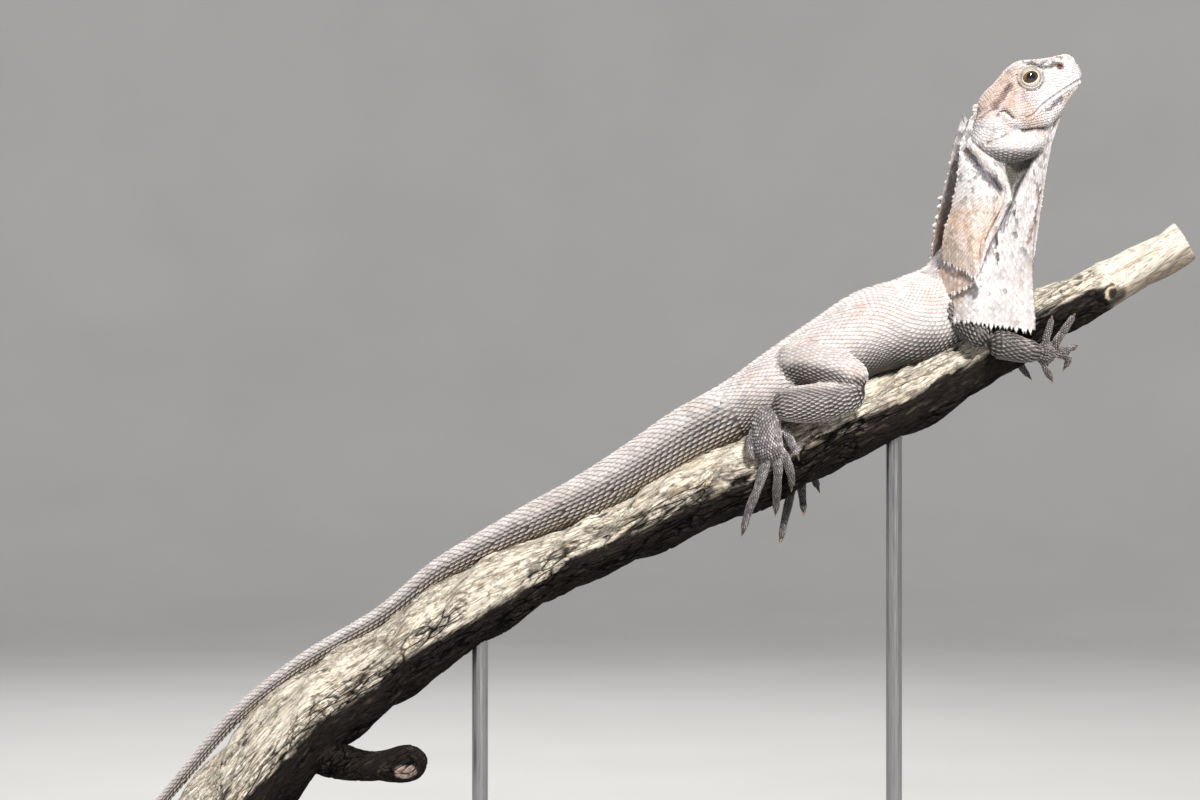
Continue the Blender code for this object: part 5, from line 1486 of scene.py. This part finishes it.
def make_eyes():
    """The eyeballs: a black pupil, a dark iris with an amber arc, and a dark rim."""
    radius = EYE_RADIUS - EYE_GAP
    for side, sign in SIDES:
        points, faces = tube_mesh(ball_rings((*EYE_AT, sign * EYE_DEEP), (radius,) * 3, 64, 48))
        points[-2:] = [head_place(*EYE_AT, sign * EYE_DEEP + way * radius) for way in (1, -1)]
        eye = object_of("eye_ball_" + side, points, faces)
        a, h, w = in_head(points)
        reach = np.hypot(a - EYE_AT[0], (h - EYE_AT[1]) * 1.1)
        reach = np.where(w * sign > EYE_DEEP, reach, 9.0)
        colour = mixed(PUPIL, IRIS, smoothstep(reach, *PUPIL_EDGE))
        amber = bell(reach - 2.9, 0.5) * smoothstep((a - EYE_AT[0]) + (h - EYE_AT[1]), 1.2, 3.6)
        colour = mixed(colour, AMBER, 0.6 * np.clip(amber, 0, 1))
        colour = mixed(colour, EYE_RIM, smoothstep(reach, *IRIS_EDGE))
        paint(eye, colour)
        eye.data.materials.append(eye_finish())
        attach(eye, "root")
        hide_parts("eye_" + side)


def make_lids(finish):
    """The smooth margins of the lids, one closed ring round each eye."""
    shapes = []
    turn = np.linspace(0, 2 * np.pi, 72, endpoint=False)[:, None]
    around = np.linspace(0, 2 * np.pi, 12, endpoint=False)
    beads = 1 + 0.1 * np.cos(turn * LID_BEADS)
    thick, deep = np.cos(around) * LID_THICK * beads, np.sin(around) * LID_DEEP * beads
    wide, high = LID_OPENING[0] * np.cos(turn), LID_OPENING[1] * np.sin(turn)
    w = EYE_DEEP + np.sqrt((EYE_RADIUS + 0.25) ** 2 - wide ** 2 - high ** 2)
    for _, sign in SIDES:
        rings = head_place(EYE_AT[0] + wide + thick * np.cos(turn),
                           EYE_AT[1] + high + thick * np.sin(turn), sign * (w + deep))
        here, beside, both, ahead = grid_corners(*rings.shape[:2], (True, True))
        quads = np.stack([here, ahead, both, beside], 1)
        shapes.append((rings.reshape(-1, 3), quads if sign > 0 else quads[:, ::-1]))
    lids = object_of("eye_lids", *joined(shapes))
    paint(lids, np.tile(LID_CREAM, (len(lids.data.vertices), 1)))
    lids.data.materials.append(finish)
    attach(lids, "root")


def make_claws():
    """A curved claw on each toe and finger."""
    shapes, tints = [], []
    share = np.linspace(0, 1, 14)
    radius = CLAW_RADIUS * (1 - share ** 1.5) + 0.08
    tone = np.concatenate([np.repeat(share, 12), [0.0, 1.0]]) ** 1.3
    for name, rows, sign in digits():
        track = digit_track(name, rows, sign)
        start, end = curve(track, np.array([track[-1, 0] - 1.5, track[-1, 0]]))
        bend = unit(np.array([0.0, -sign, -0.3]))
        centres = end + unit(end - start) * (share * CLAW_LENGTH - 0.5)[:, None]
        centres = centres + bend * (share ** 2 * CLAW_LENGTH * CLAW_DROP * 1.6)[:, None]
        shapes.append(tube_mesh(rings_of(np.column_stack([centres, radius * 0.8, radius, radius]), 12)))
        tints.append(mixed(*CLAW_COLOURS, tone))
    claws = object_of("claws", *joined(shapes))
    paint(claws, np.concatenate(tints))
    claws.data.materials.append(claw_finish())
    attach(claws, "root")


def make_skin(flesh, seeds, finish):
    """Adds the frill's sheets to the flesh, paints the whole and gives it its finish."""
    points, normals = places_of(flesh), normals_of(flesh)
    nearest = nearest_in([place for place, _ in seeds], points)
    region = np.array([name for _, name in seeds])[nearest]
    colours = np.zeros((len(points), 3))
    for name, marks in MARKS.items():
        mine = region == name
        if mine.any():
            colour, _, dark = marks(points[mine], normals[mine])
            # Painted shade on the skin between the scales.
            colours[mine] = colour * (0.15 + 0.8 * dark)[:, None]
    shapes, tints = [(points, triangles_of(flesh))], [colours]
    for side, _ in SIDES:
        sheets = np.concatenate([grid.reshape(-1, 3) for grid, _ in frill_faces(side)])
        shapes.append((sheets, sheet_faces()[1]))
        # Painted shade on the frill's skin between its scales.
        tints.append(frill_marks(sheets)[0] * 0.72)
    bpy.data.objects.remove(flesh)
    skin = object_of("skin_whole", *joined(shapes))
    paint(skin, np.concatenate(tints))
    skin.data.materials.append(finish)
    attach(skin, "root")
    hidden = [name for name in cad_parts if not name.startswith(("stand_", "branch", "eye_"))]
    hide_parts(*hidden)


def coat_head(tree, taken, finish, seeds):
    """Lid scales, lip plates and the small scales of the head and the jowls."""
    coat = Coat("coat_head", tree)
    for _, sign in SIDES:
        for ring, count, size in LID_ROWS:
            turn = (np.arange(count) + 0.5 * (ring > 1)) / count * 2 * np.pi
            reach = np.array(LID_OPENING) * 1.15 * ring + [0.5, 0.9]
            places = EYE_AT + reach * np.stack([np.cos(turn), np.sin(turn)], 1)
            sites = side_sites(places, np.stack([-np.sin(turn), np.cos(turn)], 1), tree, sign)
            sites = sites[taken.free(sites, 0.3)]
            coat.add(GRAIN, sites, size, looks(head_marks, sites), seed=3)
        for shift, size in LIP_ROWS:
            at = np.arange(3.0, 37.0, LIP_PITCH)
            height = mouth_height(at) + shift
            slope = np.gradient(height, at)
            sites = side_sites(np.stack([at, height], 1), np.stack([np.ones_like(at), slope], 1), tree, sign)
            sites = sites[taken.free(sites, 0.9)]
            coat.add(PLATE, sites, size, looks(head_marks, sites), seed=4)
    tubes = [(head_rings(*HEAD_RINGS), HEAD_APART)]
    tubes += [(jowl_rings(rows, sign), JOWL_APART) for rows in (JOWL_LINE, EAR_LOBE) for _, sign in SIDES]
    for number, (rings, (pitch, wide)) in enumerate(tubes):
        sites = on_skin(sites_on(rings, pitch, wide), tree, 2.2)
        a, h, w = in_head(sites[:, :3])
        clear = ((np.hypot((a - EYE_AT[0]) / EYE_CLEAR[0], (h - EYE_AT[1]) / EYE_CLEAR[1]) > 1.0)
                 & (np.hypot(a - NOSTRIL_AT[0], h - NOSTRIL_AT[1]) > NOSTRIL_CLEAR)
                 & ((abs(h - mouth_height(a)) > MOUTH_CLEAR) | (a > 37.5))
                 & (np.hypot(a - EAR_AT[0], h - EAR_AT[1]) > EAR_CLEAR))
        sites = sites[clear]
        sites = sites[taken.free(sites, pitch * HEAD_CROWD)]
        draw = np.random.default_rng(40 + number)
        shift = draw.normal(0, 0.12, (len(sites), 3))
        sites[:, :3] += shift - sites[:, 6:9] * np.sum(shift * sites[:, 6:9], 1)[:, None]
        cell = (0, 0, 1, 0.6) if number == 0 else (0.25 * (number - 1), 0.62, 0.25 * number - 0.01, 1.0)
        coat.add(KEELED if number else GRAIN, sites, (pitch * 1.35, wide * 1.08, 0.42),
                 looks(head_marks, sites), cell, SKIN_SPREAD, 41 + number)
        seeds += [(site[:3], "head") for site in sites]
    knobs = []
    for x, z in NAPE_KNOBS:
        for y in (-2.4, 2.4):
            spot, normal, _, _ = tree.find_nearest(Vector((x, y, z)))
            knobs.append([*spot, *HEAD_BACK, *unit(np.array(normal) + [-0.5, 0, 0.5]), 0.5, 0.5])
    # Pale knobs, with the painted keel highlight and painted shade on their sides.
    pale = np.tile(KEEL_PALE_AND_HIGHLIGHT, (len(knobs), 1))
    coat.add(GRAIN, np.array(knobs), NAPE_KNOB_SCALE, (pale, 0.6, 0.7), spread=0.05, seed=47)
    coat.made(finish)


def tapers(start, loss):
    """A measure that shrinks from the hips to the tail's tip."""
    return lambda share: start - loss * share


def tapered_sizes(measures):
    return lambda share: np.stack([tapers(*measure)(share) for measure in measures], 1)


def coat_tube(coat, rings, apart, size, region, taken, seeds, seed, cell=WHOLE_SHEET, form=KEELED,
              span=(0.0, 1.0), back=False, reach=1.3):
    """Rows of scales over one form of the body."""
    sites = on_skin(sites_on(rings, *apart, *span), coat.tree, reach)
    if not len(sites):
        return
    size = size(sites[:, 10]) if callable(size) else np.tile(size, (len(sites), 1))
    kept = taken.free(sites, size[:, 1] * TUBE_CROWD)
    sites, size = sites[kept], size[kept]
    if back:
        sites[:, 3:6] *= -1
    spread = TOE_SPREAD if region == "toe" else SKIN_SPREAD
    coat.add(form, sites, size, looks(MARKS[region], sites), cell, spread, seed)
    seeds += [(site[:3], region) for site in sites]


def crest(coat, rings, pitch, span, size, light, taken, seed, back=False):
    """One row of raised scales along the top of a tube."""
    top = rings[:, 0]
    run = run_of(top)
    found, at = [], span[0] * run[-1]
    while at < span[1] * run[-1]:
        i = min(int(np.searchsorted(run, at)), len(top) - 2)
        ahead, up = unit(top[i + 1] - top[i]), unit(top[i] - rings[i].mean(0))
        found.append([*top[i], *ahead, *up, 0.0, at / run[-1]])
        at += pitch(at / run[-1])
    sites = on_skin(np.array(found), coat.tree)
    sites = sites[taken.free(sites, 1.0)]
    if back:
        sites[:, 3:6] *= -1
    # Pale crest scales, with the painted keel highlight and side shade that light gives.
    look = (np.tile(BACK, (len(sites), 1)), *light)
    coat.add(KEELED, sites, size(sites[:, 10]), look, spread=SKIN_SPREAD, seed=seed)


def coat_body(tree, taken, finish, seeds):
    """The torso, neck, tail, limbs and digits."""
    limbs = Coat("coat_limbs", tree)
    for number, (name, rings, pitch) in enumerate(limb_tubes()):
        low, left = divmod(number, 4)
        cell = (left / 4, low / 3, left / 4 + 0.24, low / 3 + 0.32)
        fine = name.startswith(("hand", "foot"))
        long, wide, high = PALM_SCALE if fine else LIMB_SCALE
        coat_tube(limbs, rings, (pitch, pitch), (pitch * long, pitch * wide, high),
                  "toe" if fine else "limb", taken, seeds, 60 + number, cell, GRAIN if fine else KEELED)
    limbs.made(finish)
    toes = Coat("coat_digits", tree)
    for number, digit in enumerate(digits()):
        low, left = divmod(number, 5)
        cell = (left / 5, low / 4, left / 5 + 0.19, low / 4 + 0.24)
        coat_tube(toes, digit_rings(*digit), DIGIT_APART, DIGIT_SCALE, "toe", taken, seeds, 80 + number,
                  cell, GRAIN, reach=0.9)
    toes.made(finish)
    torso = Coat("coat_torso", tree)
    body = trunk_rings(BODY_LINE, *BODY_COAT_RINGS)
    crest(torso, body, tapers(*BACK_CREST_PITCH), BACK_CREST_SPAN, tapered_sizes(BACK_CREST_SCALE),
          (0.35, 0.6), taken, 98, True)
    coat_tube(torso, body, TORSO_APART, TORSO_SCALE, "body", taken, seeds, 100, span=TORSO_SPAN, back=True)
    torso.made(finish)
    neck = Coat("coat_neck", tree)
    coat_tube(neck, body, NECK_APART, NECK_SCALE, "neck", taken, seeds, 101, span=NECK_SPAN, back=True)
    neck.made(finish)
    tail = Coat("coat_tail", tree)
    rings = trunk_rings(TAIL_LINE, *TAIL_COAT_RINGS, TAIL_SIDEWAYS)
    crest(tail, rings, tapers(*CREST_PITCH), CREST_SPAN, tapered_sizes(CREST_SCALE), (0.4, 0.5), taken, 99)
    coat_tube(tail, rings, (tapers(*TAIL_PITCH), tapers(*TAIL_WIDE)), tapered_sizes(TAIL_SCALE), "body",
              taken, seeds, 102, span=TAIL_SPAN)
    tail.made(finish)


def frill_sites(grid, normal, pitch, wide):
    """Sites in staggered rows down one face of the frill, and how much room each of them has."""
    down, over = np.gradient(grid, axis=1), np.gradient(grid, axis=0)
    rows = int(FRILL_TALL / pitch) + 1
    count = int(run_of(grid[:, FRILL_ROWS // 2])[-1] / wide)
    row, k = (index.ravel() for index in np.meshgrid(np.arange(rows), np.arange(count), indexing="ij"))
    i = (k + 0.5 * (row % 2) + 0.25) / count * (FRILL_COLUMNS - 1)
    j = (row + 0.5) / rows * (FRILL_ROWS - 1)
    at = (i.astype(int), j.astype(int))
    tall = np.linalg.norm(down, axis=2)[at] * (FRILL_ROWS - 1) / rows
    broad = np.linalg.norm(over, axis=2)[at] * (FRILL_COLUMNS - 1) / count
    sites = np.column_stack([grid[at], unit(down)[at], normal[at], i / FRILL_COLUMNS, j / FRILL_ROWS])
    return sites, np.column_stack([tall, broad])


def coat_frill(side, flesh_tree, finish):
    """Small scales on both faces of a frill half, finer on the outer one."""
    faces = sheet_faces()[0]
    coat = Coat("coat_frill_" + side, None, "frill")
    for number, (grid, normal) in enumerate(frill_faces(side)):
        coat.tree = tree_of(grid.reshape(-1, 3), faces if number == 0 else faces[:, ::-1])
        outer = (number == 1) == (side == "right")
        pitch, wide = OUTER_PITCH if outer else INNER_PITCH
        sites, room = frill_sites(grid, normal, pitch, wide)
        shown = np.ones(len(sites), bool)
        for i, site in enumerate(sites):
            spot, out, _, _ = flesh_tree.find_nearest(Vector(site[:3]))
            shown[i] = (Vector(site[:3]) - spot).dot(out) >= -0.5
        size = np.clip(room, 0.8, 2.6) * [1.4, 1.1]
        size = np.column_stack([size, np.full(len(room), FRILL_SCALE_HEIGHT)])
        sites, size = sites[shown], size[shown]
        kept = Taken().free(sites, pitch * FRILL_CROWD)
        sites, size = sites[kept], size[kept]
        cell = (0, 0.5 * number, 1, 0.5 * number + 0.48)
        coat.add(GRAIN, sites, size, frill_marks(sites[:, :3]), cell, 0.14, 120 + number)
    coat.made(finish)


def margin_edges(down, outward):
    """The frill's lower, rear and front edge: points, direction and its sign, pitch, unevenness,
    length and width of the scales, and colour."""
    last, bottom = FRILL_COLUMNS - 1, FRILL_ROWS - 1
    return [
        ([(i, bottom) for i in range(FRILL_COLUMNS)], down, 1, 2.3, 0.12, (2.9, 2.5), FRILL_PALE),
        ([(0, j) for j in range(6, FRILL_ROWS)], outward, -1, 3.1, 0.35, (1.9, 2.4), FRILL_PALE),
        ([(last, j) for j in range(6, FRILL_ROWS)], outward, 1, 2.1, 0.15, (1.5, 2.2), FRILL_BEAD),
    ]


def frill_margin(side, finish):
    """Pointed scales all along the margin of a frill half."""
    (grid, normal), (back, _) = frill_faces(side)
    middle = (grid + back) / 2
    down, outward = unit(np.gradient(middle, axis=1)), unit(np.gradient(middle, axis=0))
    spots, shapes, tints = [], [], []
    local, faces, painted_light_share = TOOTH
    draw = np.random.default_rng(140)
    for keys, way, sign, pitch, uneven, size, tint in margin_edges(down, outward):
        run = run_of(np.array([middle[i, j] for i, j in keys]))
        steps = np.cumsum(pitch * np.clip(draw.normal(1, uneven, int(run[-1] / pitch)), 0.5, 2))
        for at in steps[steps < run[-1] - 0.5]:
            i, j = keys[int(np.interp(at, run, np.arange(len(keys))))]
            up = normal[i, j]
            ahead = unit(way[i, j] * sign + 0.25 * down[i, j] * (way is outward))
            across = unit(np.cross(up, ahead))
            long, wide = np.array(size) * np.clip(draw.normal(1, 0.1 + uneven, 2), 0.4, 1.7)
            share = j / FRILL_ROWS
            if way is outward and sign < 0 and side == "left" and 0.55 < share < 0.95:
                long, wide = long * 1.5, wide * 1.25
            if way is outward:
                grown = 0.4 + 0.6 * smoothstep(share, 0.12, 0.42)
                long, wide = long * grown, wide * grown
            for face in (1, -1):
                shape = (middle[i, j] + ahead * (local[:, :1] * long - 0.9)
                         + across * local[:, 1:2] * wide * face + up * (local[:, 2:3] * 0.55 * face))
                shapes.append((shape, faces))
                tone = np.asarray(tint) if draw.random() < 0.7 else np.asarray(FRILL_PALE)
                # Painted highlight on each tooth's keel.
                tints.append(mixed(tone * draw.normal(1, 0.08), KEEL_PALE_AND_HIGHLIGHT, 0.45 * painted_light_share))
                spots.append(((i + 0.5) / FRILL_COLUMNS, (j + 0.5) / FRILL_ROWS))
    points, corners = joined(shapes)
    piece = object_of("frill_margin_" + side, points, corners)
    paint(piece, np.concatenate(tints))
    patch = 0.003 * np.column_stack([local[:, 1], local[:, 0] - 0.5])
    spots = np.clip(np.array(spots), 0.004, 0.996)[:, None] + patch[None]
    lay_out(piece, spots.reshape(-1, 2), corners)
    piece.data.materials.append(finish)
    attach(piece, "root")


def dress_stand():
    for name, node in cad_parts.items():
        if name.startswith("stand_"):
            node.data.materials.clear()
            node.data.materials.append(base_finish() if name == "stand_base" else rod_finish())


def make_floor():
    """A pale floor that curves up far out, so that the ground behind is plain all round."""
    climb = np.linspace(0.05, 1, 24) * np.pi / 2
    radii = np.concatenate([np.linspace(0.2, FLOOR_FLAT, 30), FLOOR_FLAT + FLOOR_RISE * np.sin(climb)])
    heights = np.concatenate([np.zeros(30), FLOOR_RISE * (1 - np.cos(climb))]) - 0.1
    turn = np.linspace(0, 2 * np.pi, FLOOR_SIDES, endpoint=False)
    rings = np.stack([np.outer(radii, np.cos(turn)), np.outer(radii, np.sin(turn)),
                      np.outer(heights, np.ones(FLOOR_SIDES))], 2)
    here, beside, both, ahead = grid_corners(*rings.shape[:2], (False, True))
    floor = object_of("floor", rings.reshape(-1, 3), np.stack([here, ahead, both, beside], 1))
    floor.data.materials.append(floor_finish())


def add_light(name, place, target, size, power, colour=(1.0, 1.0, 1.0)):
    data = bpy.data.lights.new(name, "AREA")
    data.size, data.energy, data.color = size, power, colour
    light = bpy.data.objects.new(name, data)
    light.location = Vector(place)
    light.rotation_euler = (Vector(target) - Vector(place)).to_track_quat("-Z", "Y").to_euler()
    bpy.context.scene.collection.objects.link(light)


def light_studio():
    """A key, a fill and a rim light, and four lights on the ground far out, in metres and watts."""
    world = bpy.data.worlds.new("studio")
    bpy.context.scene.world = world
    world.use_nodes = True
    bpy.context.scene.view_settings.view_transform = "Standard"
    background = world.node_tree.nodes["Background"].inputs
    background["Color"].default_value = WORLD_LIGHT
    background["Strength"].default_value = WORLD_STRENGTH
    for light in LIGHTS:
        add_light(*light)
    for turn in range(4):
        way = Vector((math.sin(turn * math.pi / 2), math.cos(turn * math.pi / 2), 0))
        place, target = (way * far + Vector((0, 0, high)) for far, high in (BACKDROP_AT, BACKDROP_TO))
        add_light(f"backdrop_{turn}", place, target, BACKDROP_SIZE, BACKDROP_POWER)


def add_camera():
    data = bpy.data.cameras.new("camera")
    data.lens, data.sensor_width = CAMERA_LENS, CAMERA_SENSOR
    data.clip_start, data.clip_end = 0.05, 50
    camera = bpy.data.objects.new("camera", data)
    camera.location = [value * MM for value in CAMERA_AT]
    camera.rotation_euler = (math.pi / 2, 0, 0)
    bpy.context.scene.collection.objects.link(camera)
    bpy.context.scene.camera = camera


add_camera()
branch_piece = make_branch()
branch_tree = tree_of(places_of(branch_piece), triangles_of(branch_piece))
flesh_piece = make_flesh(branch_tree)
flesh_tree = tree_of(places_of(flesh_piece), triangles_of(flesh_piece))
skin_finish = marked_finish("skin_scaled", 2200, 0.35, Specular_IOR_Level=0.4)
scale_finish = marked_finish("scales", 2600, 0.25, Specular_IOR_Level=0.5)
seed_places = []
taken_places = Taken()
coat_head(flesh_tree, taken_places, scale_finish, seed_places)
coat_body(flesh_tree, taken_places, scale_finish, seed_places)
for frill_side, _ in SIDES:
    coat_frill(frill_side, flesh_tree, scale_finish)
    frill_margin(frill_side, scale_finish)
make_skin(flesh_piece, seed_places, skin_finish)
make_lids(scale_finish)
make_eyes()
make_claws()
dress_stand()
make_floor()
light_studio()
